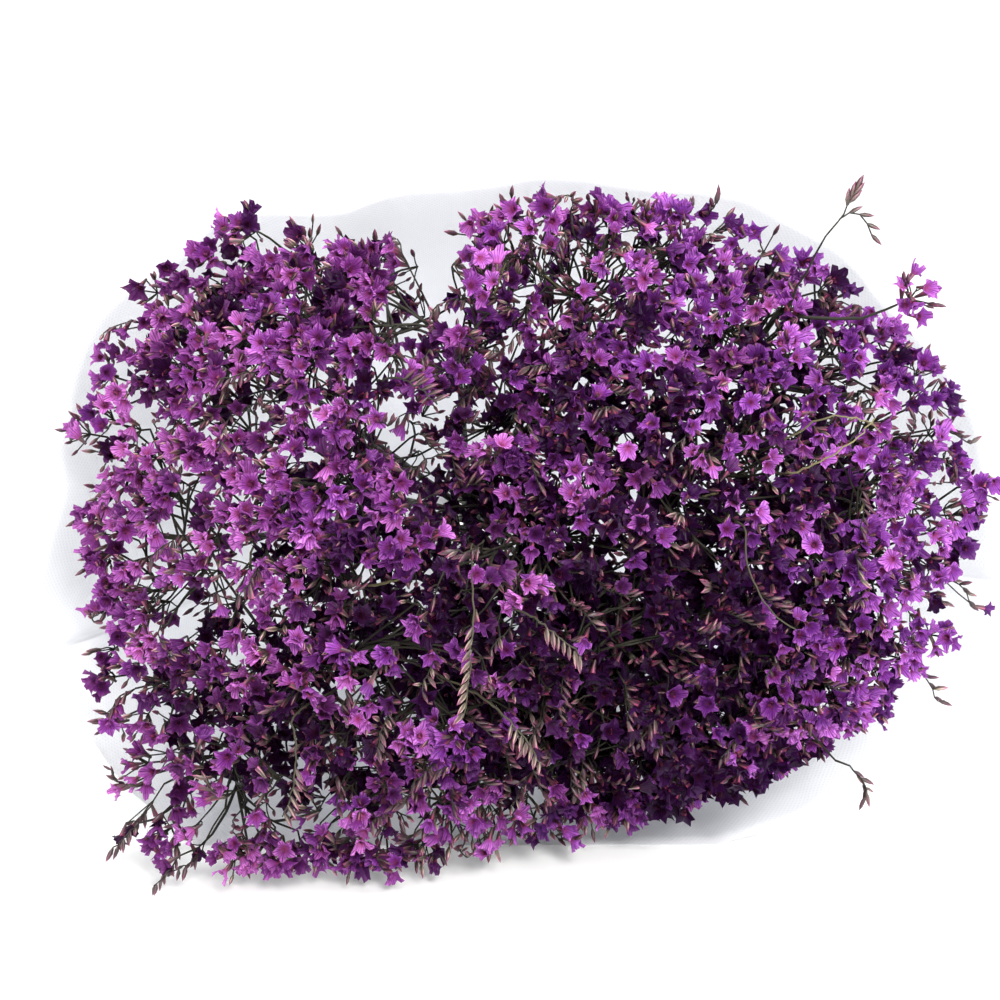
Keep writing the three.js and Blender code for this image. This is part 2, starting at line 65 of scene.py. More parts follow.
RIM_Y = -60
RIM_REACH = [
    (12, 137), (35, 124), (53, 117), (78, 104), (98, 100), (117, 105), (136, 125), (153, 136),
    (175, 133), (191, 144), (207, 141), (225, 137), (250, 112), (275, 104), (302, 113),
    (317, 122), (333, 132), (347, 142),
]
SLEEVE_NECK_RADIUS = 11.4
SLEEVE_NECK_HALF_LENGTH = 9
STEM_BEND_MARGIN = 2
SLEEVE_END_Y = 266
SLEEVE_END_RADIUS = 19
SLEEVE_ROOM = 0.9
UNDERSIDE_LIFT = 0.7
SLEEVE_BELL = 0.62
PLEAT_DEPTH = 1.5

BAND_WIDTH = 12
BAND_CLEARANCE = 0.3

SPRAY_RINGS = [(1, 0, 0, 0), (5, 0.43, 3.55, 0.3), (10, 0.82, 7.1, 0.05)]
OUTER_COUNT, PLEAT_TURN = 10, TAU * 0.05 / 10
STEM_SHARES = [0, 0.18, 0.38, 0.6, 0.8, 1]
STEM_SPREAD = 1.2
TAIL_SPREAD = 0.55
TAIL_LENGTH_SPREAD = 12
STEM_TOP_BEHIND_FRONT = 46

TIP_COUNT = 702
TIP_JITTER = 1.6
JOINT_SPACING = 6
FORKS_BEFORE_Y = 60
FORK_COSINE = 0.66
TWIG_SHORTEST = 22
TWIG_LEAN = 0.4
CURVE_HANDLE = 0.34
TIP_RADIUS = 9
FACING_LEVELLING, FACING_OUTWARD, FACING_EDGE_OUTWARD, FACING_TILT = 0.3, 0.06, 0.42, 0.5
CLEARANCE = 0.4
FLOOR_CLEARANCE = 0.2

HEAD_GAPS = [(-31, 64, 11), (-92, -18, 10), (-12, 30, 7), (84, 44, 6)]
LOOSE_TIPS = [
    (83, -14, 88, True), (104, -6, 66, False), (-33, -12, 76, True), (-112, -8, -84, True),
    (-100, -10, -93, True), (-84, -4, -98, False), (92, -6, -68, True),
]
SEED = 20261
TIP_SEED_STEP = 7919
STEM_SEED_STEP = 104729

# ---- Finer sizes, for the looks alone ----

INNER_TIP_COUNT = 900
INNER_LAYER = (34, 100)
INNER_SHARE = 0.93
DEEP_LAYER = (20, 70)
# Inner clusters face more ways than the front ones
INNER_TILT = 1.8
# Where the dark inner flowers are, painted near-black as painted shade deep in the head: x, z,
# reach in x and z, how many clusters, and how far they are behind the front where that isn't the
# usual depth
DEEP_PLACES = [
    (24, -46, 58, 42, 195), (-46, -54, 34, 30, 40), (80, -14, 22, 30, 22), (-82, 56, 38, 28, 18),
    (60, 64, 40, 26, 8), (58, 10, 38, 34, 50), (84, -42, 20, 24, 26), (-40, -6, 32, 28, 44),
    (-82, -54, 26, 26, 20), (54, -75, 36, 12, 30, (4, 26)), (12, 26, 22, 28, 22),
]
CLUSTER_DEPTH = 8.0
# Combs that start below this height rise, so that they don't lie on the surface
LOW_TIPS = 32
FLORET_RADIUS = 3.1
# How far a calyx's foot is behind its floret's centre
CALYX_FOOT = 5.6
CALYX_LENGTH, CALYX_RADIUS = 3.8, 0.72
BUD_LENGTHS = (2.8, 4.5)
# The spacing of the buds on a comb
COMB_STEP = 1.75
# Florets are pinker to the left: half a step of hue for half this width
HUE_WIDTH = 260
# Painted shade: the tone of the deep clusters, and how much darker the inner clusters are
DEEP_SHADE_TONE, INNER_PAINTED_SHADE = -0.2, 0.32
# How much paler the buds of some light clusters are, and the share of these clusters
DRY_BUDS_PALER, DRY_BUDS_SHARE = 0.3, 0.4
CLUSTER_REACH = 4.3
FLORETS_IN_CLUSTER = 4.6
STEM_FOOT_RADIUS = 1.45
STEM_TOP_RADIUS = 0.8
BRANCH_RADIUS = 0.6
TWIG_RADIUS = 0.42
TWIG_END_RADIUS = 0.28
PEDICEL_RADIUS = 0.22
LONG_TWIG = 55
LOOSE_SAG = 4
ABOVE_SURFACE, ABOVE_CLOTH = 0.15, 0.65

# Places of the head that hold more closed buds: x and z from the head's centre, reach in x and z,
# and the share of the tips there that are bud spikes
BUD_PLACES = [
    (-16, 46, 28, 32, 0.62), (-10, -60, 26, 36, 0.5), (-102, -80, 24, 18, 0.6),
    (32, -25, 38, 26, 0.38), (36, -66, 32, 22, 0.28), (84, 80, 16, 16, 0.5),
    (-64, -60, 46, 36, 0.42),
]
BUD_SHARE_ELSEWHERE = 0.17
# Twigs that arch in front of the others: three points from the head's centre, the number of buds
# that hang from the far part of each, on which side, and how pale it is
ARCHES = [
    (((-15, -34, 2), (-13, -52, -16), (-17, -48, -37)), 9, (-0.75, -0.1, -0.65), 0.97),
    (((-12, -34, -36), (-3, -50, -38), (3, -46, -50)), 7, (-0.5, -0.1, -0.85), 0.93),
    (((-62, -30, -44), (-58, -44, -54), (-64, -40, -66)), 6, (0.7, -0.1, -0.7), 0.8),
    (((-4, -34, -12), (6, -50, -13), (13, -46, -22)), 7, (-0.3, -0.1, -0.9), 0.85),
    (((56, -22, 5), (54, -44, -8), (68, -36, -17)), 0, (0, 0, -1), 0.85),
    (((70, -14, 20), (79, -36, 28), (88, -26, 36)), 0, (0, 0, 1), 1.0),
    (((71, -14, 31), (79, -34, 42), (90, -24, 32)), 0, (0, 0, 1), 0.97),
    (((-38, -30, 46), (-30, -48, 52), (-23, -42, 42)), 6, (0.5, -0.1, 0.8), 0.45),
]
# Places that hold fewer florets: x, z, reach in x and z, and their share of the usual number
SPARSE_PLACES = [
    (8, 72, 24, 22, 0.1), (-12, -88, 40, 14, 0.3), (-112, -57, 16, 24, 0.5),
    (-116, 24, 16, 18, 0.5), (108, 4, 20, 34, 1.1), (56, 18, 48, 32, 0.48),
    (20, 40, 26, 24, 0.5), (-90, -10, 28, 22, 0.42), (-20, -18, 28, 26, 0.55),
    (-70, -58, 44, 34, 0.8), (62, 72, 42, 26, 0.72), (14, -52, 46, 34, 0.7),
    (-70, 50, 34, 20, 1.15), (-58, 72, 18, 18, 1.35), (86, -40, 22, 26, 0.7),
]
# A cluster at the left edge of the head that is painted lighter, as painted light where the light
# falls on it: in x and z, and how far it reaches
PAINTED_LIGHT_CLUSTER = (-114, 8, 10)
# Places that the inner twigs fill, with the share of them that grow there
INNER_PLACES = [(14, -40, 66, 58, 1), (-14, 22, 40, 36, 0.4), (62, 30, 56, 54, 0.7),
                (-66, 50, 50, 44, 0.6), (-48, -2, 34, 26, 0.9)]
INNER_SHARE_ELSEWHERE = 0.4
# Places where shade is painted on the flowers, which are darker there: x, z, reach in x and z, and
# how much darker
PAINTED_SHADE_PLACES = [
    (32, -26, 46, 42, 0.42), (14, -66, 38, 22, 0.4), (-24, -22, 32, 30, 0.28),
    (-70, -60, 44, 34, 0.16), (-8, 30, 30, 26, 0.14), (56, 16, 40, 30, 0.12),
]


# ---- Helpers ----

def unit(vector):
    return vector / np.linalg.norm(vector)


def seeded_draws(seed):
    """Random draws that depend only on the seed, as the solids' own draws do."""
    state = [seed]

    def draw():
        state[0] = (state[0] * 1664525 + 1013904223) % 4294967296
        return state[0] / 4294967296

    for _ in range(4):
        draw()
    return draw


def reach_at(table, angle):
    """The reach at an angle in radians, eased between the listed angles."""
    turn = math.degrees(angle) % 360
    for i, (start, reach) in enumerate(table):
        following, next_reach = table[(i + 1) % len(table)]
        width = (following - start) % 360
        offset = (turn - start) % 360
        if offset <= width:
            share = offset / width
            return reach + (next_reach - reach) * share * share * (3 - 2 * share)
    return table[0][1]


def share_there(place, places, elsewhere):
    """The share of the listed place that holds this one best, eased at its edge."""
    x, z = place[0] - HEAD_CENTRE[0], place[2] - HEAD_CENTRE[2]
    held, share_held = 0, elsewhere
    for middle_x, middle_z, reach_x, reach_z, share in places:
        away = math.hypot((x - middle_x) / reach_x, (z - middle_z) / reach_z)
        if min(1, 2.5 * (1 - away)) > held:
            held, share_held = min(1, 2.5 * (1 - away)), share
    return elsewhere + (share_held - elsewhere) * held


def clumping_at(place):
    """How much more or fewer florets a place holds, from -1 to 1, in uneven clumps."""
    x, z = place[0] - HEAD_CENTRE[0], place[2] - HEAD_CENTRE[2]
    return (math.sin(0.2 * x + 1.3 * math.sin(0.11 * z))
            * math.sin(0.23 * z + 1.1 * math.sin(0.13 * x) + 0.7))


def middle_line_at(y):
    share = (STEM_END_CENTRE[1] - y) / (STEM_END_CENTRE[1] - HEAD_CENTRE[1])
    return STEM_END_CENTRE + (HEAD_CENTRE - STEM_END_CENTRE) * share


def frame_along(direction):
    """Two directions across a stalk."""
    side = unit(np.cross(direction, UP))
    return side, np.cross(direction, side)


def frames_along(directions):
    """Two directions across each of many stalks."""
    side = np.cross(directions, UP)
    side /= np.linalg.norm(side, axis=1)[:, None]
    return side, np.cross(directions, side)


def rings_round(angles, side, rise, wide=1.0):
    """Points at these angles on a ring round each stalk, from the directions across it."""
    return ((np.cos(angles) * wide)[..., None] * side[:, None]
            + (np.sin(angles) * wide)[..., None] * rise[:, None])


def column(parts, key):
    return np.array([part[key] for part in parts])


def random_tilt(draw):
    return np.array([draw() - 0.5, draw() - 0.5, draw() - 0.5])


def rounded(points, rounds):
    """A path with its corners cut, which keeps its ends."""
    path = np.asarray(points, float)
    for _ in range(rounds):
        near = 0.75 * path[:-1] + 0.25 * path[1:]
        far = 0.25 * path[:-1] + 0.75 * path[1:]
        inner = np.stack([near, far], 1).reshape(-1, 3)[1:-1]
        path = np.vstack([path[:1], inner, path[-1:]])
    return path


def bezier(a, b, c, d, steps):
    t = np.linspace(0, 1, steps)[:, None]
    return (1 - t) ** 3 * a + 3 * (1 - t) ** 2 * t * b + 3 * (1 - t) * t * t * c + t ** 3 * d


def arc_at(t, start, control, end):
    return (1 - t) ** 2 * start + 2 * (1 - t) * t * control + t * t * end


def directions_on(path):
    steps = np.gradient(path, axis=0)
    return steps / np.linalg.norm(steps, axis=1)[:, None]


# ---- A pile of small parts that become one mesh ----

class Template:
    """The triangles that a kind of small part shares, with the place of each corner on its own
    square of the bake map."""

    def __init__(self, triangles, corners):
        self.triangles = np.array(triangles, np.int64)
        self.corners = np.array(corners, float)


class Pile:
    def __init__(self):
        self.points, self.triangles, self.corners, self.values = [], [], [], []
        self.count, self.cells = 0, 0

    def add(self, template, points, values):
        """points: parts x vertices x 3; values: parts x vertices x 4 numbers for the material."""
        parts, size = points.shape[:2]
        starts = self.count + size * np.arange(parts)
        cells = self.cells + np.arange(parts)
        faces = template.triangles[None] + starts[:, None, None]
        self.triangles.append(faces.reshape(-1, 3))
        place = np.broadcast_to(template.corners[None], (parts,) + template.corners.shape)
        number = np.broadcast_to(cells[:, None, None, None], place.shape[:3] + (1,))
        self.corners.append(np.concatenate([place, number], 3).reshape(-1, 3))
        self.points.append(points.reshape(-1, 3))
        self.values.append(np.broadcast_to(values, (parts, size, 4)).reshape(-1, 4))
        self.count += parts * size
        self.cells += parts

    def make(self, name, material, smooth):
        triangles = np.concatenate(self.triangles)
        corners = np.concatenate(self.corners)
        across = math.ceil(math.sqrt(self.cells))
        cell = corners[:, 2]
        column, row = cell % across, np.floor(cell / across)
        uv = np.stack([column + 0.04 + 0.92 * corners[:, 0], row + 0.04 + 0.92 * corners[:, 1]], 1)
        points = np.concatenate(self.points)
        lowest = np.where(points[:, 1] > RIM_Y, ABOVE_CLOTH, ABOVE_SURFACE)
        points[:, 2] = np.maximum(points[:, 2], lowest)
        piece = mesh_piece(name, points, triangles, smooth)
        layer = piece.data.uv_layers.new(name="OFBake", do_init=False)
        layer.uv.foreach_set("vector", (uv / across).astype(np.float32).ravel())
        values = piece.data.color_attributes.new("facts", "FLOAT_COLOR", "POINT")
        values.data.foreach_set("color", np.concatenate(self.values).astype(np.float32).ravel())
        piece.data.materials.append(material)
        return piece


def stand_for(piece, node):
    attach(piece, "root")
    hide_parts(node)


def mesh_piece(name, points, triangles, smooth):
    mesh = bpy.data.meshes.new(name)
    mesh.vertices.add(len(points))
    mesh.vertices.foreach_set("co", (np.asarray(points) * MM).astype(np.float32).ravel())
    mesh.loops.add(triangles.size)
    mesh.loops.foreach_set("vertex_index", triangles.astype(np.int32).ravel())
    mesh.polygons.add(len(triangles))
    mesh.polygons.foreach_set("loop_start", np.arange(0, triangles.size, 3, dtype=np.int32))
    mesh.polygons.foreach_set("use_smooth", np.full(len(triangles), smooth))
    mesh.update(calc_edges=True)
    mesh.validate()
    piece = bpy.data.objects.new(name, mesh)
    bpy.context.scene.collection.objects.link(piece)
    return piece


tube_templates = {}


def tube_template(rings, sides, capped):
    """A tube of rings of points, closed by a fan at each end where it is capped."""
    key = (rings, sides, capped)
    if key not in tube_templates:
        triangles, corners = [], []
        for r in range(rings - 1):
            for i in range(sides):
                j = (i + 1) % sides
                a, b, c, d = r * sides + i, r * sides + j, (r + 1) * sides + j, (r + 1) * sides + i
                left, right = i / sides, (i + 1) / sides
                low, high = r / (rings - 1), (r + 1) / (rings - 1)
                triangles += [(a, b, c), (a, c, d)]
                corners += [[(left, low), (right, low), (right, high)],
                            [(left, low), (right, high), (left, high)]]
        if capped:
            foot, top = rings * sides, rings * sides + 1
            last = (rings - 1) * sides
            for i in range(sides):
                j = (i + 1) % sides
                triangles += [(foot, j, i), (top, last + i, last + j)]
                left, right = i / sides, (i + 1) / sides
                corners += [[(left, 0), (right, 0), (left, 0.01)],
                            [(left, 1), (right, 1), (left, 0.99)]]
        tube_templates[key] = Template(triangles, corners)
    return tube_templates[key]


def add_tube(pile, path, radii, sides, facts, capped=True):
    """facts: tone and kind, the same all over the tube, with the share along it between them."""
    side, rise = frames_along(directions_on(path))
    angles = TAU * np.arange(sides) / sides
    ring = rings_round(angles, side, rise)
    points = (path[:, None] + ring * np.asarray(radii)[:, None, None]).reshape(-1, 3)
    along = np.repeat(np.linspace(0, 1, len(path)), sides)
    if capped:
        points = np.vstack([points, path[:1], path[-1:]])
        along = np.append(along, [0, 1])
    tone, kind = facts
    values = np.stack([np.full(len(points), tone), along, np.full(len(points), kind),
                       np.ones(len(points))], 1)
    pile.add(tube_template(len(path), sides, capped), points[None], values[None])


# ---- Skeleton of the sprays, as in the solids ----

def lay_out_sprays():
    sprays = []
    for count, share, neck_radius, turn in SPRAY_RINGS:
        for i in range(count):
            angle = TAU * (i + turn) / count
            across = np.array([math.cos(angle), math.sin(angle)])
            sprays.append({
                "neck": across * neck_radius,
                "head": across * share * reach_at(HEAD_REACH, angle),
                "share": share,
                "tips": [],
            })
    return sprays


def stem_point_at(spray, y):
    point = middle_line_at(y)
    offset = spray["neck"]
    if y > NECK_Y:
        offset = offset * (1 + TAIL_SPREAD * (y - NECK_Y) / (STEM_END_CENTRE[1] - NECK_Y))
    else:
        spread_start = NECK_Y - SLEEVE_NECK_HALF_LENGTH
        rise = max(0, (spread_start - y) / (spread_start - HEAD_CENTRE[1]))
        offset = offset + (spray["head"] - offset) * rise ** STEM_SPREAD
    return point + np.array([offset[0], 0, offset[1]])


def head_front_at(share):
    return HEAD_FRONT_Y + HEAD_DOME_DEPTH * share ** HEAD_DOME_POWER


def droop_at(share, angle):
    away = abs((math.degrees(angle) - DROOP_ANGLE + 180) % 360 - 180)
    near = max(0, 1 - (away / DROOP_HALF_WIDTH) ** 2)
    return DROOP_REACH * near * share ** 3


def front_y_at(share, angle):
    return head_front_at(share) - droop_at(share, angle)


def sleeve_reach_at(y, angle):
    bell_start = NECK_Y - SLEEVE_NECK_HALF_LENGTH
    share = min(1, max(0, (bell_start - y) / (bell_start - RIM_Y)))
    wide = reach_at(RIM_REACH, angle) - SLEEVE_NECK_RADIUS
    return SLEEVE_NECK_RADIUS + wide * share ** SLEEVE_BELL


def place_tip(tip):
    """Keeps a tip above the surface, and inside the sleeve where it is behind the rim."""
    place = np.array(tip, float)
    behind_rim = place[1] > RIM_Y - TIP_RADIUS
    floor = UNDERSIDE_LIFT + SLEEVE_ROOM + FLOOR_CLEARANCE if behind_rim else 0
    if behind_rim:
        middle = middle_line_at(place[1])
        across = place - middle
        angle = math.atan2(across[2], across[0])
        room = sleeve_reach_at(place[1], angle) - SLEEVE_ROOM - TIP_RADIUS - CLEARANCE
        pull = min(1, room / math.hypot(across[0], across[2]))
        place[0] = middle[0] + across[0] * pull
        place[2] = middle[2] + across[2] * pull
    place[2] = max(place[2], floor + TIP_RADIUS + FLOOR_CLEARANCE)
    return place


def facing_of(place, share, tilt):
    outward = place - HEAD_CENTRE
    outward[1] = 0
    outward = unit(outward)
    facing = np.array([0, -1 + FACING_LEVELLING * share, 0])
    facing = facing + outward * (FACING_OUTWARD + FACING_EDGE_OUTWARD * share ** 2)
    return unit(facing + tilt * FACING_TILT)


def new_tip(place, share, tilt, loose=False, inner=False, bud=False, deep=False):
    place = place_tip(place)
    return {"place": place, "share": share, "facing": facing_of(place, share, tilt),
            "loose": loose, "inner": inner, "bud": bud, "deep": deep}


def grow_tips():
    """Tips are spaced like the seeds of a sunflower over the head, with a little seeded jitter."""
    golden_angle = math.pi * (3 - math.sqrt(5))
    tips = []
    for i in range(TIP_COUNT):
        draw = seeded_draws(SEED + TIP_SEED_STEP * i)
        share = math.sqrt((i + 0.5) / TIP_COUNT)
        angle = i * golden_angle
        reach = share * reach_at(HEAD_REACH, angle)
        x = reach * math.cos(angle) + TIP_JITTER * (2 * draw() - 1)
        z = reach * math.sin(angle) + TIP_JITTER * (2 * draw() - 1)
        layer_depth = HEAD_LAYER_DEPTH * (1 + (EDGE_LAYER_SHARE - 1) * share)
        y = front_y_at(share, angle) + layer_depth * draw()
        draw()
        tilt = random_tilt(draw)
        if not any(math.hypot(x - gx, z - gz) < radius for gx, gz, radius in HEAD_GAPS):
            tips.append(new_tip((x, y, HEAD_CENTRE[2] + z), share, tilt))
    for x, y, z, bud in LOOSE_TIPS:
        tips.append(new_tip(HEAD_CENTRE + (x, y, z), 1, np.zeros(3), loose=True, bud=bud))
    for i in range(INNER_TIP_COUNT):
        draw = seeded_draws(SEED + TIP_SEED_STEP * (TIP_COUNT + i))
        share = math.sqrt((i + 0.5) / INNER_TIP_COUNT) * INNER_SHARE
        angle = i * golden_angle + 1
        reach = share * reach_at(HEAD_REACH, angle)
        y = front_y_at(share, angle)
        y += INNER_LAYER[0] + (INNER_LAYER[1] - INNER_LAYER[0]) * draw()
        place = (reach * math.cos(angle), y, HEAD_CENTRE[2] + reach * math.sin(angle))
        tilt = random_tilt(draw)
        if draw() < share_there(place, INNER_PLACES, INNER_SHARE_ELSEWHERE):
            tips.append(new_tip(place, share, INNER_TILT * tilt, inner=True))
    draw = seeded_draws(SEED + TIP_SEED_STEP * (TIP_COUNT + INNER_TIP_COUNT))
    for middle_x, middle_z, reach_x, reach_z, count, *layer in DEEP_PLACES:
        first_depth, last_depth = layer[0] if layer else DEEP_LAYER
        for i in range(count):
            out = math.sqrt((i + 0.5) / count)
            x = middle_x + reach_x * out * math.cos(i * golden_angle)
            z = middle_z + reach_z * out * math.sin(i * golden_angle)
            angle = math.atan2(z, x)
            share = math.hypot(x, z) / reach_at(HEAD_REACH, angle)
            depth = first_depth + (last_depth - first_depth) * draw()
            tilt = random_tilt(draw)
            if share < 1:
                place = (x, front_y_at(share, angle) + depth, HEAD_CENTRE[2] + z)
                tips.append(new_tip(place, share, INNER_TILT * tilt, inner=True, deep=True))
    return tips


def nearest_spray(place):
    across = np.array([place[0], place[2] - HEAD_CENTRE[2]])
    return min(all_sprays, key=lambda spray: np.linalg.norm(spray["head"] - across))


def share_tips(sprays, tips):
    for tip in tips:
        nearest = nearest_spray(tip["place"])
        across = np.array([tip["place"][0], tip["place"][2] - HEAD_CENTRE[2]])
        tip["across"] = np.linalg.norm(across - nearest["head"])
        nearest["tips"].append(tip)
    for spray in sprays:
        spray["tips"].sort(key=lambda tip: (tip["inner"], not tip["loose"], -tip["across"]))


def cluster_base(tip):
    return tip["place"] - tip["facing"] * CLUSTER_DEPTH


class Joints:
    """Places on the stalks of one spray that a twig may fork from."""

    def __init__(self):
        self.points, self.directions = np.zeros((0, 3)), np.zeros((0, 3))

    def add_from(self, path):
        steps = np.linalg.norm(np.diff(path, axis=0), axis=1)
        along = np.concatenate([[0], np.cumsum(steps)])
        wanted = np.arange(JOINT_SPACING, along[-1] - JOINT_SPACING, JOINT_SPACING)
        if len(wanted):
            points = np.stack([np.interp(wanted, along, path[:, i]) for i in range(3)], 1)
            directions = directions_on(path)
            directions = np.stack([np.interp(wanted, along, directions[:, i]) for i in range(3)], 1)
            near = points[:, 1] < FORKS_BEFORE_Y
            self.points = np.vstack([self.points, points[near]])
            self.directions = np.vstack([self.directions, directions[near]])

    def nearest(self, place):
        across = place - self.points
        distance = np.linalg.norm(across, axis=1)
        leaning = (across * self.directions).sum(1) / distance
        easy = (distance > TWIG_SHORTEST) & (leaning > FORK_COSINE)
        if not easy.any():
            return None
        i = np.argmin(np.where(easy, distance, np.inf))
        return self.points[i], unit(self.directions[i]), distance[i]


def main_stem_path(spray, lead, index):
    draw = seeded_draws(SEED + STEM_SEED_STEP * (index + 1))
    end_y = STEM_END_CENTRE[1] - TAIL_LENGTH_SPREAD * draw()
    top_y = head_front_at(spray["share"]) + STEM_TOP_BEHIND_FRONT
    neck_front = NECK_Y - SLEEVE_NECK_HALF_LENGTH - STEM_BEND_MARGIN
    neck_back = NECK_Y + SLEEVE_NECK_HALF_LENGTH + STEM_BEND_MARGIN
    points = [stem_point_at(spray, y) for y in (end_y, (end_y + NECK_Y) / 2, neck_back)]
    points += [stem_point_at(spray, neck_front + (top_y - neck_front) * s) for s in STEM_SHARES]
    return rounded(points + [cluster_base(lead)], 3)


def twig_path(point, direction, tip, rng):
    """A twig leaves its parent at an angle, then bends round to the way its cluster faces."""
    end = cluster_base(tip)
    length = np.linalg.norm(end - point)
    leaving = unit(unit(end - point) * (1 - TWIG_LEAN) + direction * TWIG_LEAN)
    steps = int(min(13, max(5, round(length / 6))))
    path = bezier(point, point + leaving * CURVE_HANDLE * length,
                  end - tip["facing"] * CURVE_HANDLE * length, end, steps)
    path[1:-1] += rng.normal(0, 0.35, (steps - 2, 3))
    if tip["loose"]:
        path -= LOOSE_SAG * np.sin(np.linspace(0, math.pi, steps))[:, None] * UP
    return path, length


# ---- Florets, calyces and buds ----

LOBES = 5
THROAT_DEPTH = 0.95
# How far along its facing a floret's surface is, for its share of the radius
FUNNEL = ([0, 0.3, 0.66, 1], [-THROAT_DEPTH, -0.64, -0.18, 0])


class FloretCut:
    """How finely a floret is cut: the turns within a lobe, with how far each is from the lobe's
    middle line, what shape its rim has there, and the rings between its throat and its rim."""

    def __init__(self, turns, across, edge, rings):
        self.around = LOBES * len(turns)
        turned = np.repeat(np.arange(LOBES), len(turns)) + np.tile(turns, LOBES)
        self.angles = turned * TAU / LOBES
        self.across, self.edge = np.tile(across, LOBES), np.tile(edge, (LOBES, 1))
        self.steps, self.rings = len(turns), rings
        flat = [np.zeros((1, 2))]
        flat += [share * np.stack([np.cos(self.angles), np.sin(self.angles)], 1) for share in rings]
        flat = 0.5 + 0.5 * np.concatenate(flat)
        triangles = []
        for i in range(self.around):
            j = (i + 1) % self.around
            triangles.append((0, 1 + i, 1 + j))
            for ring in range(len(rings) - 1):
                a, b = 1 + ring * self.around, 1 + (ring + 1) * self.around
                triangles += [(a + i, b + i, b + j), (a + i, b + j, a + j)]
        self.template = Template(triangles, flat[np.array(triangles)])


# The rim's edge is a mix of the notch between two lobes, a lobe's shoulder and its middle
NOTCH, SHOULDER, MIDDLE = (1, 0, 0), (0, 1, 0), (0, 0, 1)
RIM_LIFTS = (-0.35, 0.12, 0.0)
FINE_CUT = FloretCut([0, 0.2, 0.5, 0.8], [1, 0.6, 0, 0.6], [NOTCH, SHOULDER, MIDDLE, SHOULDER],
                     [0.3, 0.66, 1])
COARSE_CUT = FloretCut([0, 0.5], [1, 0], [NOTCH, MIDDLE], [0.5, 1])


def add_corollas(pile, florets, cut, rng):
    """Papery five-lobed funnels. Each floret: centre, facing, radius, roll, tone, hue."""
    if not florets:
        return
    count, around = len(florets), cut.around
    centre, facing = column(florets, "centre"), column(florets, "facing")
    radius = column(florets, "radius")[:, None]
    side, rise = frames_along(facing)
    angles = column(florets, "roll")[:, None] + cut.angles
    angles = angles + rng.normal(0, 0.035, (count, around))
    bend = np.repeat(rng.normal(0.05, 0.4, (count, LOBES)), cut.steps, 1)
    bend[:, ::cut.steps] = 0.5 * (bend[:, ::cut.steps] + np.roll(bend, 1, 1)[:, ::cut.steps])
    notch = rng.uniform(0.5, 0.76, count)
    reaches = np.stack([notch, notch + rng.uniform(0.1, 0.26, count),
                        rng.uniform(1.0, 1.22, count)], 1)
    rim = reaches @ cut.edge.T * (1 + rng.normal(0, 0.07, (count, around)))
    lift = cut.edge @ np.array(RIM_LIFTS) + rng.normal(0, 0.2, (count, around))
    flare = rng.uniform(0.75, 1.3, (count, 1))
    across_it = rings_round(angles, side, rise)
    points = [(centre - facing * THROAT_DEPTH * radius)[:, None]]
    for share in cut.rings:
        outer = max(0, 2 * share - 1)
        out = rim if share == 1 else share * (1 - 0.05 * cut.across) * np.ones((count, 1))
        out = out * (1 - 0.25 * outer * np.abs(bend))
        along = np.interp(share, *FUNNEL) / flare + outer * (0.5 * lift + 0.75 * bend)
        points.append(centre[:, None] + across_it * (out * radius)[..., None]
                      + facing[:, None] * (along * radius)[..., None])
    radial = np.concatenate([[0], np.repeat(cut.rings, around)])
    across_lobe = np.concatenate([[0], np.tile(cut.across, len(cut.rings))])
    values = np.zeros((count, len(radial), 4))
    values[..., 0] = column(florets, "tone")[:, None]
    values[..., 1] = radial
    values[..., 2] = across_lobe
    values[..., 3] = column(florets, "hue")[:, None]
    pile.add(cut.template, np.concatenate(points, 1), values)


BUD_SIDES = 6
CALYX_PROFILE = [(0, 0.45), (1, 1.15)]
BUD_PROFILE = [(0, 0.4), (0.32, 1.0), (0.68, 0.8), (1, 0.06)]


def add_buds(pile, buds, profile, kind):
    """Ribbed spindles. Each bud: base, direction, length, radius, tone. Kind: 0 calyx, 1 bud."""
    if not buds:
        return
    base, along = column(buds, "base"), column(buds, "direction")
    length = column(buds, "length")[:, None, None]
    radius = column(buds, "radius")[:, None, None]
    side, rise = frames_along(along)
    angles = TAU * np.arange(BUD_SIDES) / BUD_SIDES
    ribs = np.where(np.arange(BUD_SIDES) % 2 == 0, 1.12, 0.82)
    ring = rings_round(angles, side, rise, ribs)
    points = [base[:, None] + along[:, None] * length * share + ring * radius * wide
              for share, wide in profile]
    rings = len(profile)
    values = np.zeros((len(buds), rings * BUD_SIDES, 4))
    values[..., 0] = column(buds, "tone")[:, None]
    values[..., 1] = np.repeat([share for share, _ in profile], BUD_SIDES)
    values[..., 2] = np.tile(np.arange(BUD_SIDES) % 2, rings)
    values[..., 3] = kind
    pile.add(tube_template(rings, BUD_SIDES, False), np.concatenate(points, 1), values)


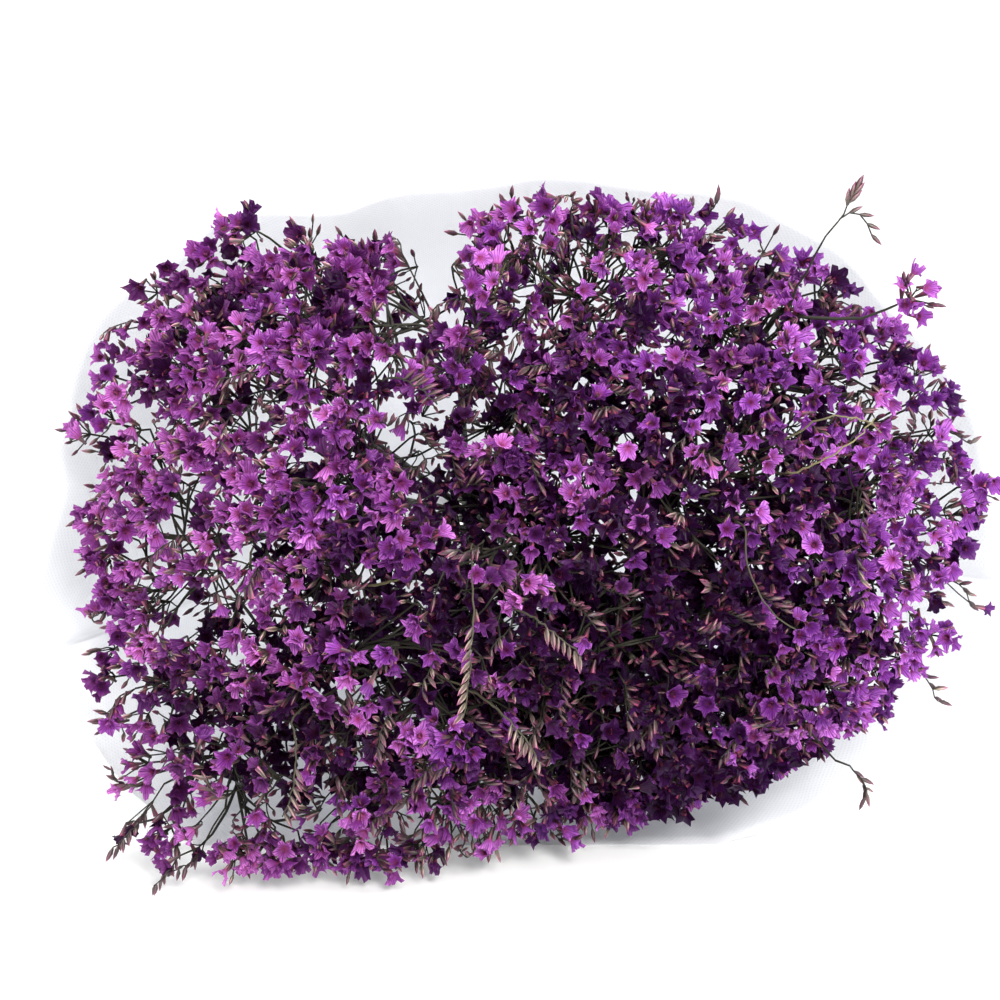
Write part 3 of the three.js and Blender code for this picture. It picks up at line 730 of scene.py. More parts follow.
class Cluster:
    """What one tip carries: its florets, calyces and buds with their short stalks."""

    def __init__(self, tip, rng):
        self.florets, self.calyces, self.buds, self.stalks = [], [], [], []
        self.tip, self.rng = tip, rng
        self.base = cluster_base(tip)
        self.side, self.rise = frame_along(tip["facing"])
        x = tip["place"][0]
        pinkness = 0.5 - x / HUE_WIDTH + rng.normal(0, 0.2)
        self.hue = float(np.clip(pinkness, 0, 1))
        # Painted shade: clusters in the shaded places and all inner clusters get darker tones;
        # front clusters in these places also get fewer florets and buds
        self.painted_shade = share_there(tip["place"], PAINTED_SHADE_PLACES, 0)
        if tip["inner"]:
            self.painted_shade = INNER_PAINTED_SHADE + 1.2 * self.painted_shade
        self.tone = rng.normal(0.5, 0.24) + 0.16 * clumping_at(tip["place"]) - self.painted_shade
        self.tone = float(np.clip(self.tone, 0, 1))
        # The buds of some light clusters are dry and cream-coloured
        dry = self.tone > 0.5 and rng.random() < DRY_BUDS_SHARE
        self.paler = DRY_BUDS_PALER if dry else 0
        bud_share = share_there(tip["place"], BUD_PLACES, BUD_SHARE_ELSEWHERE)
        lit_x, lit_z, lit_reach = PAINTED_LIGHT_CLUSTER
        z = tip["place"][2] - HEAD_CENTRE[2]
        in_painted_light = math.hypot(x - lit_x, z - lit_z) < lit_reach
        if tip["deep"]:
            # Deep clusters are painted near-black, as painted shade
            self.tone = DEEP_SHADE_TONE
            self.grow_dome(rng.integers(5, 8), 1.1)
            self.side_buds(2)
        elif tip["bud"] and tip["place"][2] > HEAD_CENTRE[2] and x > 0:
            self.grow_bud_twig()
        elif tip["bud"] or (not tip["loose"] and not in_painted_light and rng.random() < bud_share):
            self.grow_comb(rng.integers(5, 10), rng.random() < 0.35)
            if rng.random() < 0.5:
                self.grow_dome(rng.integers(1, 3), 0.6)
        elif tip["inner"]:
            self.grow_dome(rng.integers(0, 3), 1)
            self.side_buds(rng.integers(3, 8))
        else:
            # The cluster at the left edge gets light tones as painted light; loose tips get the
            # same light tones
            if in_painted_light or tip["loose"]:
                self.tone, crowd = float(rng.uniform(0.6, 0.88)), 1.0
                self.hue = min(1, self.hue + 0.1)
            else:
                crowd = share_there(tip["place"], SPARSE_PLACES, 1)
                crowd *= (1 + 0.65 * clumping_at(tip["place"])) * (1 - 2.3 * self.painted_shade)
            count = max(0, int(FLORETS_IN_CLUSTER * crowd + rng.uniform(-0.6, 1.6)))
            self.grow_dome(count + (2 if tip["loose"] else 0), 1.5 if tip["loose"] else 1)
            self.side_buds(int(rng.integers(4, 9) * (1 - 2 * self.painted_shade)))

    def add_floret(self, centre, facing, size):
        rng = self.rng
        radius = FLORET_RADIUS * size * rng.uniform(0.8, 1.15)
        tone = float(np.clip(self.tone + rng.normal(0, 0.16), 0, 1))
        hue = float(np.clip(self.hue + rng.normal(0, 0.1), 0, 1))
        self.florets.append({"centre": centre, "facing": facing, "radius": radius,
                             "roll": rng.uniform(0, TAU), "tone": tone, "hue": hue})
        foot = centre - facing * (CALYX_FOOT + rng.uniform(-0.4, 0.6))
        self.calyces.append({"base": foot, "direction": facing, "length": CALYX_LENGTH,
                             "radius": CALYX_RADIUS * rng.uniform(0.85, 1.15),
                             "tone": 0.8 * rng.random()})
        self.stalks.append((self.base, foot + facing * 0.4))

    def add_bud(self, base, direction, start=None, darker=0.0):
        rng = self.rng
        length = rng.uniform(*BUD_LENGTHS)
        # Buds of deep and inner clusters are darker, as painted shade
        darker += 1 if self.tip["deep"] else 0.4 if self.tip["inner"] else 0
        self.buds.append({"base": base, "direction": direction, "length": length,
                          "radius": length * rng.uniform(0.14, 0.18),
                          "tone": max(0, rng.random() + self.paler - darker)})
        if start is not None:
            self.stalks.append((start, base + direction * 0.3))

    def across(self, angle):
        return math.cos(angle) * self.side + math.sin(angle) * self.rise

    def grow_dome(self, count, spread):
        """Florets side by side, each leaning out of the middle of the cluster."""
        rng, tip = self.rng, self.tip
        turn = rng.uniform(0, TAU)
        for i in range(count):
            out = CLUSTER_REACH * spread * rng.uniform(0.65, 1.2) if i else 0.8
            across = self.across(turn + TAU * i / max(1, count - 1) + rng.normal(0, 0.25))
            centre = tip["place"] + across * out - tip["facing"] * (0.09 * out * out)
            centre = centre + tip["facing"] * rng.normal(0, 1.2)
            lean = across * (0.17 * out) + rng.normal(0, 0.45, 3)
            self.add_floret(centre, unit(tip["facing"] + lean), 1)

    def grow_bud_twig(self):
        """A stalk with large buds close together at its top, and four more on a side twig."""
        rng, start = self.rng, self.base
        along = unit(np.array([0.5, -0.1, 1.0]))
        top = start + along * 4.5
        self.stalks.append((start, top, np.array([start, start + along * 2 + (0.4, 0, 0), top])))
        for lift, lean in ((0, -0.45), (0.8, 0.4), (2.0, -0.25), (2.8, 0.3), (4.2, 0.0)):
            direction = unit(along + lean * np.array([0.8, 0, -0.4]))
            self.buds.append({"base": top + along * lift, "direction": direction,
                              "length": 4.6, "radius": 0.85, "tone": 0.5 + 0.2 * rng.random()})
        side = [start + along * 0.5 + np.array(step) for step in (
            (0, 0, 0), (2.5, 0, 1.6), (5.2, 0, 1.2), (7.2, 0, -1.2), (8.4, 0, -4.0))]
        self.stalks.append((side[0], side[-1], np.array(side)))
        leans = ((1, 0, 0.5), (1, 0, -0.1), (0.9, 0, -0.4), (0.8, 0, -0.8))
        for foot, lean in zip(side[1:], leans):
            self.buds.append({"base": foot, "direction": unit(np.array(lean)), "length": 3.8,
                              "radius": 0.6, "tone": rng.uniform(0.35, 0.65)})

    def side_buds(self, count):
        rng, tip = self.rng, self.tip
        for _ in range(count):
            across = self.across(rng.uniform(0, TAU))
            direction = unit(tip["facing"] + across * rng.uniform(0.3, 1.1))
            base = self.base + direction * rng.uniform(2.5, 6.5) + across * rng.uniform(0, 2)
            self.add_bud(base, direction, self.base)

    def grow_comb(self, count, opening):
        """Buds in two close rows on one side of an arching stalk, all leaning the same way."""
        rng, tip = self.rng, self.tip
        bend = self.across(rng.uniform(0, TAU)) - UP * (0.5 if tip["place"][2] > LOW_TIPS else -0.3)
        if tip["loose"]:
            bend = UP * (1.0 if tip["place"][2] > HEAD_CENTRE[2] else -0.3) + 0.3 * self.side
        side = unit(np.cross(tip["facing"], bend))
        length = COMB_STEP * count
        start = self.base
        control = start + tip["facing"] * length * 0.6
        end = start + tip["facing"] * length * 0.75 + bend * length * 0.45
        t = np.linspace(0, 1, count + 1)[:, None]
        path = arc_at(t, start, control, end)
        path[1:] += rng.normal(0, 0.25, (count, 3))
        directions = directions_on(path)
        darker = rng.uniform(0, 0.55)
        for i in range(1, count + 1):
            row = np.cross(directions[i], side) * (0.4 if i % 2 else -0.4)
            direction = unit(directions[i] * 0.8 + side * 0.6 + row + rng.normal(0, 0.16, 3))
            foot = path[i] + side * 0.2
            if opening and rng.random() < 0.3:
                self.add_floret(foot + direction * 5.4, direction, 0.9)
            else:
                self.add_bud(foot, direction, darker=darker)
        self.stalks.append((path[0], path[-1], path))


def grow_arch(arch, joints, stems, rng):
    """An arching twig that hangs in front; gives back its buds."""
    points, count, lean, pale = arch
    start, control, end = (HEAD_CENTRE + point for point in points)
    joint = joints.nearest(start)
    t = np.linspace(0, 1, 16)[:, None]
    arc = arc_at(t, start, control, end)
    path = arc
    if joint is not None:
        point, direction, distance = joint
        leading = bezier(point, point + direction * 0.3 * distance,
                         start - 0.3 * (control - start), start, 7)
        path = np.vstack([leading[:-1], arc])
    path[1:-1] += rng.normal(0, 0.2, (len(path) - 2, 3))
    foot = 0.34 if count else 0.3
    # The twigs that carry buds are brown, and the bare ones pale
    tone = 0.9 * pale if count else pale
    add_tube(stems, path, np.linspace(foot, 0.62 * foot, len(path)), 5, (tone, 0.3))
    buds, lean = [], unit(np.array(lean))
    for i in range(count):
        s = 0.4 + 0.6 * (i + 0.5) / count
        foot = arc_at(s, start, control, end)
        along = unit(2 * (1 - s) * (control - start) + 2 * s * (end - control))
        direction = unit(0.55 * along + lean + rng.normal(0, 0.09, 3))
        length = rng.uniform(3.8, 4.8)
        buds.append({"base": foot, "direction": direction, "length": length,
                     "radius": 0.15 * length, "tone": pale * rng.uniform(0.8, 1)})
    return buds


def add_stalks(pile, stalks, rng):
    for stalk in stalks:
        if len(stalk) == 3:
            path = stalk[2]
        else:
            start, end = stalk
            path = np.array([start, 0.5 * (start + end) + rng.normal(0, 0.3, 3), end])
        radii = np.linspace(PEDICEL_RADIUS * 1.15, PEDICEL_RADIUS, len(path))
        add_tube(pile, path, radii, 3, (rng.uniform(0.2, 0.6), 0.5), capped=False)


def grow_spray(spray, index, looks):
    rng = np.random.default_rng(SEED + index)
    stems, petals, buds = Pile(), Pile(), Pile()
    tips = spray["tips"]
    lead = min((tip for tip in tips if not tip["inner"] and not tip["loose"]),
               key=lambda tip: tip["across"])
    path = main_stem_path(spray, lead, index)
    along = np.linspace(0, 1, len(path))
    radii = STEM_FOOT_RADIUS + (STEM_TOP_RADIUS - STEM_FOOT_RADIUS) * np.clip(
        (along - 0.3) / 0.7, 0, 1)
    radii = radii * (1 + 0.05 * np.sin(along * 90 + index))
    add_tube(stems, path, radii, 8, (rng.uniform(0, 0.5), 0))
    joints = Joints()
    joints.add_from(path)
    florets, inner_florets, calyces, closed, stalks = [], [], [], [], []
    for tip in tips:
        if tip is not lead:
            joint = joints.nearest(cluster_base(tip))
            if joint is None:
                continue
            path, length = twig_path(joint[0], joint[1], tip, rng)
            thick = BRANCH_RADIUS if length > LONG_TWIG or tip["loose"] else TWIG_RADIUS
            pale = 1.0 if rng.random() < 0.03 else rng.uniform(0, 0.6)
            add_tube(stems, path, np.linspace(thick, TWIG_END_RADIUS, len(path)), 4, (pale, 0.3))
            joints.add_from(path)
        cluster = Cluster(tip, rng)
        if tip["inner"]:
            inner_florets += cluster.florets
        else:
            florets += cluster.florets
        calyces += cluster.calyces
        closed += cluster.buds
        stalks += cluster.stalks
    for arch in ARCHES:
        if nearest_spray(HEAD_CENTRE + arch[0][0]) is spray:
            closed += grow_arch(arch, joints, stems, rng)
    add_corollas(petals, florets, FINE_CUT, rng)
    add_corollas(petals, inner_florets, COARSE_CUT, rng)
    add_buds(buds, calyces, CALYX_PROFILE, 0)
    add_buds(buds, closed, BUD_PROFILE, 1)
    add_stalks(stems, stalks, rng)
    node = f"spray_{index + 1:02d}"
    made = [
        petals.make(node + "_florets", looks["petal"], False),
        buds.make(node + "_buds", looks["bud"], True),
        stems.make(node + "_stems", looks["stem"], True),
    ]
    for piece in made:
        stand_for(piece, node)


# ---- Materials ----

class Shader:
    """A short way to lay out a material's nodes. A number that is the same all over a surface is
    set on the shader's own socket."""

    def __init__(self, name):
        self.material = bpy.data.materials.new(name)
        self.material.use_nodes = True
        self.tree = self.material.node_tree
        self.principled = self.tree.nodes["Principled BSDF"]
        self.output = self.tree.nodes["Material Output"]

    def node(self, kind, inputs=None, **settings):
        node = self.tree.nodes.new(kind)
        for key, value in settings.items():
            setattr(node, key, value)
        for key, value in (inputs or {}).items():
            self.put(node.inputs[key], value)
        return node

    def put(self, socket, value):
        if isinstance(value, bpy.types.NodeSocket):
            self.tree.links.new(value, socket)
        else:
            socket.default_value = value

    def math(self, operation, a, b=0.0, clamp=False):
        node = self.node("ShaderNodeMath", operation=operation, use_clamp=clamp)
        self.put(node.inputs[0], a)
        self.put(node.inputs[1], b)
        return node.outputs[0]

    def scaled(self, value, share, base=0.0):
        """The base, and a share of the value more."""
        grown = self.math("MULTIPLY", value, share)
        return self.math("ADD", base, grown) if base else grown

    def fading(self, value, steepness):
        """From 1 where the value is 0 down to 0, and no further."""
        return self.math("SUBTRACT", 1.0, self.math("MULTIPLY", value, steepness), clamp=True)

    def ramp(self, factor, stops):
        node = self.node("ShaderNodeValToRGB", {"Fac": factor})
        elements = node.color_ramp.elements
        while len(elements) < len(stops):
            elements.new(0.5)
        for element, (position, colour) in zip(elements, stops):
            element.position = position
            element.color = (*colour, 1)
        return node.outputs["Color"]

    def mix(self, factor, a, b):
        node = self.node("ShaderNodeMix", data_type="RGBA")
        self.put(node.inputs["Factor"], factor)
        for socket, value in ((node.inputs[6], a), (node.inputs[7], b)):
            self.put(socket, (*value, 1) if isinstance(value, tuple) else value)
        return node.outputs[2]

    def noise(self, scale, detail=2.0, roughness=0.5):
        coordinates = self.node("ShaderNodeTexCoord").outputs["Object"]
        node = self.node("ShaderNodeTexNoise", {
            "Vector": coordinates, "Scale": scale, "Detail": detail, "Roughness": roughness})
        return node.outputs["Fac"]

    def bump(self, height, strength, distance):
        node = self.node("ShaderNodeBump", {
            "Height": height, "Strength": strength, "Distance": distance})
        self.put(self.principled.inputs["Normal"], node.outputs["Normal"])
        return node.outputs["Normal"]

    def facts(self):
        """The numbers that a pile keeps for each vertex."""
        node = self.node("ShaderNodeAttribute", attribute_type="GEOMETRY", attribute_name="facts")
        parts = self.node("ShaderNodeSeparateColor", {"Color": node.outputs["Color"]})
        return (*parts.outputs[:3], node.outputs["Alpha"])

    def finish(self, colour, roughness, through=None, share=0.3, normal=None):
        """Through is the colour of light that shines through a thin sheet."""
        self.put(self.principled.inputs["Base Color"], colour)
        self.put(self.principled.inputs["Roughness"], roughness)
        if through is not None:
            inputs = {"Color": through}
            if normal is not None:
                inputs["Normal"] = normal
            behind = self.node("ShaderNodeBsdfTranslucent", inputs)
            both = self.node("ShaderNodeMixShader")
            both.inputs[0].default_value = share
            self.tree.links.new(self.principled.outputs[0], both.inputs[1])
            self.tree.links.new(behind.outputs[0], both.inputs[2])
            self.tree.links.new(both.outputs[0], self.output.inputs["Surface"])
        return self.material


def petal_material():
    look = Shader("caspia_petal")
    tone, radial, across, hue = look.facts()
    violet = look.ramp(tone, [(0, (0.012, 0.002, 0.02)), (0.22, (0.055, 0.006, 0.11)),
                              (0.55, (0.17, 0.02, 0.305)), (1, (0.46, 0.13, 0.64))])
    pink = look.ramp(tone, [(0, (0.012, 0.002, 0.014)), (0.22, (0.065, 0.006, 0.07)),
                            (0.55, (0.18, 0.019, 0.19)), (1, (0.54, 0.145, 0.51))])
    body = look.mix(hue, violet, pink)
    # Rims of the lighter florets are mixed towards pale pink: the papery edge's paler colour with a
    # painted highlight along it
    rim = look.math("MULTIPLY", look.math("POWER", radial, 4.0), look.scaled(tone, 0.5))
    body = look.mix(rim, body, (0.8, 0.3, 0.76))
    vein_line = look.fading(across, 5.5)
    fine = look.math("COSINE", look.scaled(across, 2 * TAU))
    fine = look.math("POWER", look.scaled(look.math("ADD", fine, 1.0), 0.5), 3.0)
    vein = look.math("ADD", look.scaled(vein_line, 0.35), look.scaled(fine, 0.65), clamp=True)
    body = look.mix(vein, body, (0.04, 0.003, 0.05))
    throat = look.fading(radial, 1.7)
    body = look.mix(throat, body, look.ramp(tone, [(0.3, (0.02, 0.002, 0.008)),
                                                   (1, (0.34, 0.03, 0.07))]))
    speckle = look.noise(900.0, 3.0)
    body = look.mix(look.scaled(tone, 0.2), body,
                    look.ramp(speckle, [(0.3, (0.06, 0.01, 0.08)), (0.7, (0.6, 0.2, 0.6))]))
    roughness = look.scaled(speckle, 0.3, 0.26)
    look.principled.inputs["Specular IOR Level"].default_value = 0.15
    look.bump(look.math("SUBTRACT", 1.0, vein), 0.5, 0.0002)
    return look.finish(body, roughness, body, 0.28)


def bud_material():
    look = Shader("caspia_bud")
    tone, along, rib, kind = look.facts()
    calyx = look.ramp(along, [(0, (0.018, 0.016, 0.01)), (0.4, (0.06, 0.012, 0.018)),
                              (1, (0.3, 0.025, 0.1))])
    closed = look.ramp(along, [(0, (0.016, 0.014, 0.009)), (0.3, (0.03, 0.014, 0.013)),
                               (0.6, (0.075, 0.012, 0.028)), (1, (0.24, 0.02, 0.1))])
    dark = look.mix(kind, calyx, closed)
    pale = look.ramp(along, [(0, (0.06, 0.07, 0.03)), (0.35, (0.34, 0.3, 0.19)),
                             (0.62, (0.66, 0.4, 0.38)), (1, (0.56, 0.07, 0.32))])
    body = look.mix(look.math("POWER", tone, 3.0), dark, pale)
    # The grooves between the ribs are near-black: the buds' dark stripes, with painted shade in the
    # grooves
    stripe_and_groove_shade = look.ramp(rib, [(0.25, (0, 0, 0)), (0.6, (1, 1, 1))])
    body = look.mix(look.scaled(stripe_and_groove_shade, 0.85), body, (0.016, 0.008, 0.01))
    grain = look.noise(700.0, 3.0)
    body = look.mix(0.12, body, look.ramp(grain, [(0.35, (0.01, 0.006, 0.006)),
                                                  (0.7, (0.3, 0.09, 0.18))]))
    look.principled.inputs["Specular IOR Level"].default_value = 0.5
    look.bump(grain, 0.35, 0.0002)
    return look.finish(body, look.scaled(grain, 0.3, 0.28), body, 0.1)


def stem_material():
    look = Shader("caspia_stem")
    tone, along, kind, _ = look.facts()
    grain = look.noise(260.0, 4.0, 0.6)
    body = look.ramp(tone, [(0, (0.009, 0.011, 0.008)), (0.6, (0.022, 0.025, 0.016)),
                            (0.9, (0.05, 0.048, 0.028)), (1, (0.2, 0.18, 0.09))])
    body = look.mix(look.scaled(grain, 0.5), body, (0.03, 0.016, 0.014))
    # The cut stems are olive towards their feet, and their cut faces are pale
    main_stem = look.fading(kind, 8.0)
    foot = look.fading(along, 3.0)
    streak = look.ramp(grain, [(0.3, (0.035, 0.032, 0.016)), (0.7, (0.11, 0.11, 0.05))])
    body = look.mix(look.math("MULTIPLY", foot, main_stem), body, streak)
    cut = look.fading(along, 500.0)
    body = look.mix(look.math("MULTIPLY", cut, main_stem), body, (0.42, 0.37, 0.22))
    look.principled.inputs["Specular IOR Level"].default_value = 0.2
    look.bump(grain, 0.5, 0.0003)
    return look.finish(body, look.scaled(grain, 0.3, 0.42))


def sleeve_material():
    look = Shader("non_woven_cloth")
    coordinates = look.node("ShaderNodeTexCoord").outputs["UV"]
    turned = look.node("ShaderNodeMapping", {
        "Vector": coordinates, "Rotation": (0, 0, math.radians(45))})
    dots = look.node("ShaderNodeTexVoronoi", {
        "Vector": turned.outputs[0], "Scale": 1.0, "Randomness": 0.0}, voronoi_dimensions="2D")
    pressed = look.ramp(dots.outputs["Distance"], [(0.18, (0, 0, 0)), (0.34, (1, 1, 1))])
    fibre = look.noise(420.0, 5.0, 0.7)
    cloud = look.noise(55.0, 3.0, 0.6)
    body = look.mix(look.scaled(fibre, 0.3), (0.925, 0.93, 0.945), (0.88, 0.885, 0.905))
    body = look.mix(look.scaled(cloud, 0.2), body, (0.85, 0.855, 0.88))
    shade = look.mix(pressed, (0.855, 0.86, 0.885), body)
    height = look.mix(0.35, pressed, fibre)
    look.principled.inputs["Specular IOR Level"].default_value = 0.2
    normal = look.bump(height, 0.35, 0.0003)
    return look.finish(shade, look.scaled(fibre, 0.2, 0.78),
                       shade, 0.6, normal)


def band_material():
    look = Shader("natural_rubber")
    grain = look.noise(300.0, 3.0)
    body = look.mix(grain, (0.56, 0.36, 0.17), (0.74, 0.52, 0.28))
    look.principled.inputs["Subsurface Weight"].default_value = 0.15
    look.principled.inputs["Subsurface Radius"].default_value = (0.004, 0.002, 0.001)
    look.bump(grain, 0.3, 0.0003)
    return look.finish(body, look.scaled(grain, 0.25, 0.45))


# ---- Sleeve and band ----

CLOTH_THICKNESS = 0.35
CLOTH_ABOVE_SURFACE = 0.15
SLEEVE_AROUND = 240
TAIL_ROWS, NECK_ROWS, BELL_ROWS, ROW_STEP = 12, 3, 42, 3
# The cloth's size in millimetres, and the spacing of its pressed dots
CLOTH_ROUND, CLOTH_LONG, DOT_SPACING = 780, 330, 1.15
SEAM_ANGLES = (math.radians(195), math.radians(354))
SEAM_HEIGHT = 1.3
SEAM_HALF_WIDTH = 2.6
# How many there are round the sleeve, how deep they are, and where they start
FOLDS = [(23, 0.9, 0.4), (31, 0.7, 2.1), (14, 0.8, 4.4)]
WAVES = [(5, 0.9, 0.7), (9, 0.5, 2.6), (13, 0.3, 5.0)]


def fold_at(y, angle):
    """Pleats that press in at the neck and die out towards the rim, and slow waves at the rim."""
    bell_start = NECK_Y - SLEEVE_NECK_HALF_LENGTH
    share = min(1, max(0, (bell_start - y) / (bell_start - RIM_Y)))
    pleats = -PLEAT_DEPTH * math.cos(OUTER_COUNT * (angle - PLEAT_TURN)) * (1 - share) ** 2
    fine = sum(depth * math.sin(count * angle + turn + 3 * share) for count, depth, turn in FOLDS)
    waves = sum(depth * math.sin(count * angle + turn - 2 * share) for count, depth, turn in WAVES)
    gathered = 0.35 + 3.2 * share * (1 - share) ** 2
    return pleats + 0.5 * fine * gathered + waves * share ** 1.5


def seam_at(y, angle, reach):
    height = 0
    for seam in SEAM_ANGLES:
        away = abs((angle - seam + math.pi) % TAU - math.pi) * reach
        height += SEAM_HEIGHT * max(0, 1 - away / SEAM_HALF_WIDTH)
    return height


def cloth_point(y, angle, inset):
    reach = sleeve_reach_at(y, angle)
    if y > NECK_Y:
        share = max(0, (y - NECK_Y - SLEEVE_NECK_HALF_LENGTH)
                    / (SLEEVE_END_Y - NECK_Y - SLEEVE_NECK_HALF_LENGTH))
        reach += (SLEEVE_END_RADIUS - SLEEVE_NECK_RADIUS) * share
        reach += 0.8 * share * math.sin(17 * angle + 1.3) - PLEAT_DEPTH * share * math.cos(
            OUTER_COUNT * (angle - PLEAT_TURN))
    share = min(1, max(0, (NECK_Y - y) / 120))
    reach += fold_at(y, angle) + seam_at(y, angle, reach) * share - inset
    point = middle_line_at(y)
    point[0] += reach * math.cos(angle)
    point[2] = max(CLOTH_ABOVE_SURFACE + inset, point[2] + reach * math.sin(angle))
    return point


def make_sleeve(material):
    angles = set(TAU * i / SLEEVE_AROUND for i in range(SLEEVE_AROUND))
    for seam in SEAM_ANGLES:
        angles |= {(seam + math.radians(d)) % TAU for d in (-1.1, -0.5, 0, 0.5, 1.1)}
    angles = sorted(angles)
    shares = np.linspace(0, 1, BELL_ROWS) ** 1.15
    ys = [SLEEVE_END_Y - ROW_STEP * i for i in range(TAIL_ROWS)]
    ys += [NECK_Y - ROW_STEP * i for i in range(NECK_ROWS)]
    bell_start = NECK_Y - SLEEVE_NECK_HALF_LENGTH
    ys += [bell_start + (RIM_Y - bell_start) * s for s in shares]
    around, rows = len(angles), len(ys)
    outer = np.array([[cloth_point(y, a, 0) for a in angles] for y in ys])
    inner = np.array([[cloth_point(y, a, CLOTH_THICKNESS) for a in angles] for y in ys])
    points = np.concatenate([outer.reshape(-1, 3), inner.reshape(-1, 3)])
    loop = list(range(rows)) + [2 * rows - 1 - r for r in range(rows)]
    triangles, corners = [], []
    for s in range(2 * rows):
        near, far = loop[s], loop[(s + 1) % (2 * rows)]
        for i in range(around):
            j = (i + 1) % around
            a, b, c, d = near * around + i, near * around + j, far * around + j, far * around + i
            triangles += [(a, b, c), (a, c, d)]
            corners += [(i, s), (i + 1, s), (i + 1, s + 1), (i, s), (i + 1, s + 1), (i, s + 1)]
    piece = mesh_piece("sleeve_cloth", points, np.array(triangles), True)
    mm_round, mm_along = CLOTH_ROUND / around, CLOTH_LONG / rows
    uv = np.array(corners, float) * (mm_round / DOT_SPACING, mm_along / DOT_SPACING)
    layer = piece.data.uv_layers.new(name="cloth", do_init=False)
    layer.uv.foreach_set("vector", uv.astype(np.float32).ravel())
    piece.data.materials.append(material)
    stand_for(piece, "sleeve")


def make_band(material):
    """One rubber band in five turns, side by side round the neck."""
    turns, sides, tube = 5, 10, 1.05
    steps = 64 * turns
    angle = np.linspace(0, TAU * turns, steps)
    along = np.linspace(-0.5, 0.5, steps) * (BAND_WIDTH - 2 * tube)
    reach = SLEEVE_NECK_RADIUS + PLEAT_DEPTH + BAND_CLEARANCE + tube + 0.12 * np.sin(7.3 * angle)
    middle = np.array([middle_line_at(NECK_Y + a) for a in along + 0.2 * np.sin(3.1 * angle)])
    path = middle + np.stack([reach * np.cos(angle), np.zeros(steps), reach * np.sin(angle)], 1)
    pile = Pile()
    across = np.stack([np.cos(angle), np.zeros(steps), np.sin(angle)], 1)
    turn = TAU * np.arange(sides) / sides
    sheet = np.array([0.0, 1.0, 0.0])
    ring = (np.cos(turn)[None, :, None] * across[:, None] * 0.85
            + np.sin(turn)[None, :, None] * sheet[None, None] * 1.06)
    points = (path[:, None] + ring * tube).reshape(-1, 3)
    points = np.vstack([points, path[:1], path[-1:]])
    values = np.zeros((1, len(points), 4))
    pile.add(tube_template(steps, sides, True), points[None], values)
    piece = pile.make("band_turns", material, True)
    stand_for(piece, "band")


# ---- Stage, light and camera ----

# The room's brightness, between the near side low down and the far side or overhead
ROOM = (-0.6, 0.4, 0.56, 1.2)


# Each lamp: its name, place, aim, power and colour; places in metres
LAMP_SIZE = 0.4
LAMPS = [
    ("key", (0.25, -1.35, 0.78), (0, -0.1, 0.06), 27, (1, 0.99, 0.97)),
    ("top", (0.1, -0.4, 1.5), (0, -0.1, 0.1), 21, (1, 0.99, 0.98)),
    ("fill", (1.1, -0.8, 0.8), (0, -0.1, 0.1), 7, (0.96, 0.98, 1)),
]
FLOOR_HALF = 4.0


def make_stage():
    look = Shader("studio_white")
    grain = look.noise(6.0, 2.0)
    # A white table that glows a little, as painted light, so that shadows on it stay pale
    look.principled.inputs["Emission Color"].default_value = (1, 1, 1, 1)
    look.principled.inputs["Emission Strength"].default_value = 0.15
    floor = look.finish(look.mix(grain, (0.92, 0.92, 0.915), (0.94, 0.94, 0.935)), 0.8)
    mesh = bpy.data.meshes.new("floor")
    corners = [(x * FLOOR_HALF, y * FLOOR_HALF, 0) for x, y in ((-1, -1), (1, -1), (1, 1), (-1, 1))]
    mesh.from_pydata(corners, [], [(0, 1, 2, 3)])
    mesh.materials.append(floor)
    piece = bpy.data.objects.new("floor", mesh)
    bpy.context.scene.collection.objects.link(piece)
    light_the_room()


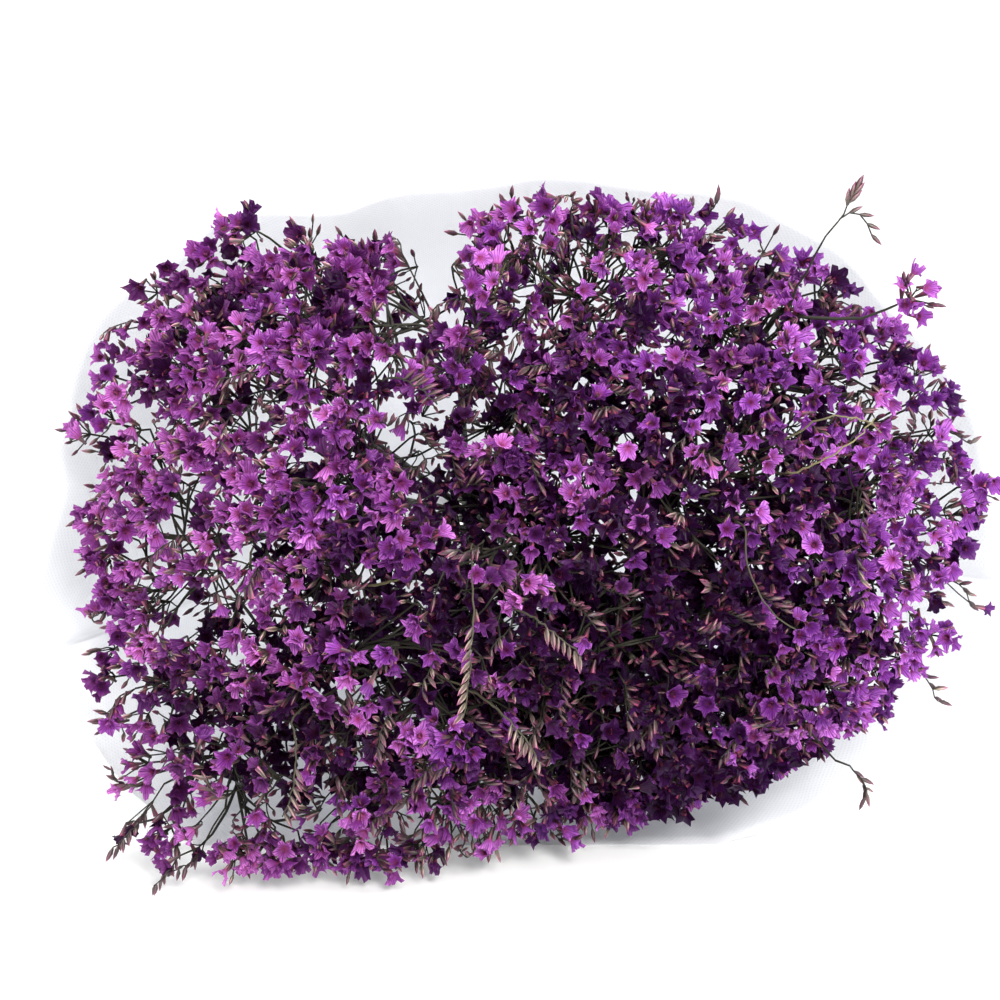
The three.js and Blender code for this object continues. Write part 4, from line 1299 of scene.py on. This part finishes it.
def light_the_room():
    """A white room behind the bunch that is dimmer on the near side, as in a photo studio."""
    world = bpy.data.worlds.new("studio")
    world.use_nodes = True
    nodes, links = world.node_tree.nodes, world.node_tree.links
    direction = nodes.new("ShaderNodeTexCoord").outputs["Generated"]
    parts = nodes.new("ShaderNodeSeparateXYZ")
    strength = nodes.new("ShaderNodeMapRange")
    strength.interpolation_type = "SMOOTHSTEP"
    for name, value in zip(("From Min", "From Max", "To Min", "To Max"), ROOM):
        strength.inputs[name].default_value = value
    links.new(direction, parts.inputs[0])
    far_or_up = nodes.new("ShaderNodeMath")
    far_or_up.operation = "MULTIPLY_ADD"
    far_or_up.inputs[1].default_value = 0.8
    links.new(parts.outputs["Z"], far_or_up.inputs[0])
    links.new(parts.outputs["Y"], far_or_up.inputs[2])
    links.new(far_or_up.outputs[0], strength.inputs["Value"])
    background = nodes["Background"]
    background.inputs["Color"].default_value = (0.98, 0.99, 1.0, 1)
    links.new(strength.outputs["Result"], background.inputs["Strength"])
    bpy.context.scene.world = world


def add_light(name, place, aim, power, colour):
    light = bpy.data.lights.new(name, "AREA")
    light.shape = "DISK"
    light.size = LAMP_SIZE
    light.energy = power
    light.color = colour
    lamp = bpy.data.objects.new(name, light)
    lamp.location = place
    direction = np.array(aim) - np.array(place)
    lamp.rotation_euler = Vector(direction).to_track_quat("-Z", "Y").to_euler()
    bpy.context.scene.collection.objects.link(lamp)


CAMERA_ELEVATION = math.radians(12)
CAMERA_DISTANCE = 600


def make_camera():
    camera = bpy.data.cameras.new("photo_view")
    camera.lens = 80
    camera.sensor_width = 36
    camera.shift_x = -0.03
    camera.shift_y = 0.035
    camera.clip_start = 0.05
    seen = bpy.data.objects.new("photo_view", camera)
    back = np.array([0, -math.cos(CAMERA_ELEVATION), math.sin(CAMERA_ELEVATION)])
    seen.location = (HEAD_CENTRE + back * CAMERA_DISTANCE) * MM
    seen.rotation_euler = (math.pi / 2 - CAMERA_ELEVATION, 0, 0)
    bpy.context.scene.collection.objects.link(seen)
    bpy.context.scene.camera = seen


make_camera()
make_stage()
for lamp in LAMPS:
    add_light(*lamp)

all_sprays = lay_out_sprays()
share_tips(all_sprays, grow_tips())
looks = {"petal": petal_material(), "bud": bud_material(), "stem": stem_material()}
for number, spray in enumerate(all_sprays):
    grow_spray(spray, number, looks)
make_band(band_material())
make_sleeve(sleeve_material())

bpy.context.scene.view_settings.view_transform = "Standard"
bpy.context.scene.view_settings.look = "None"
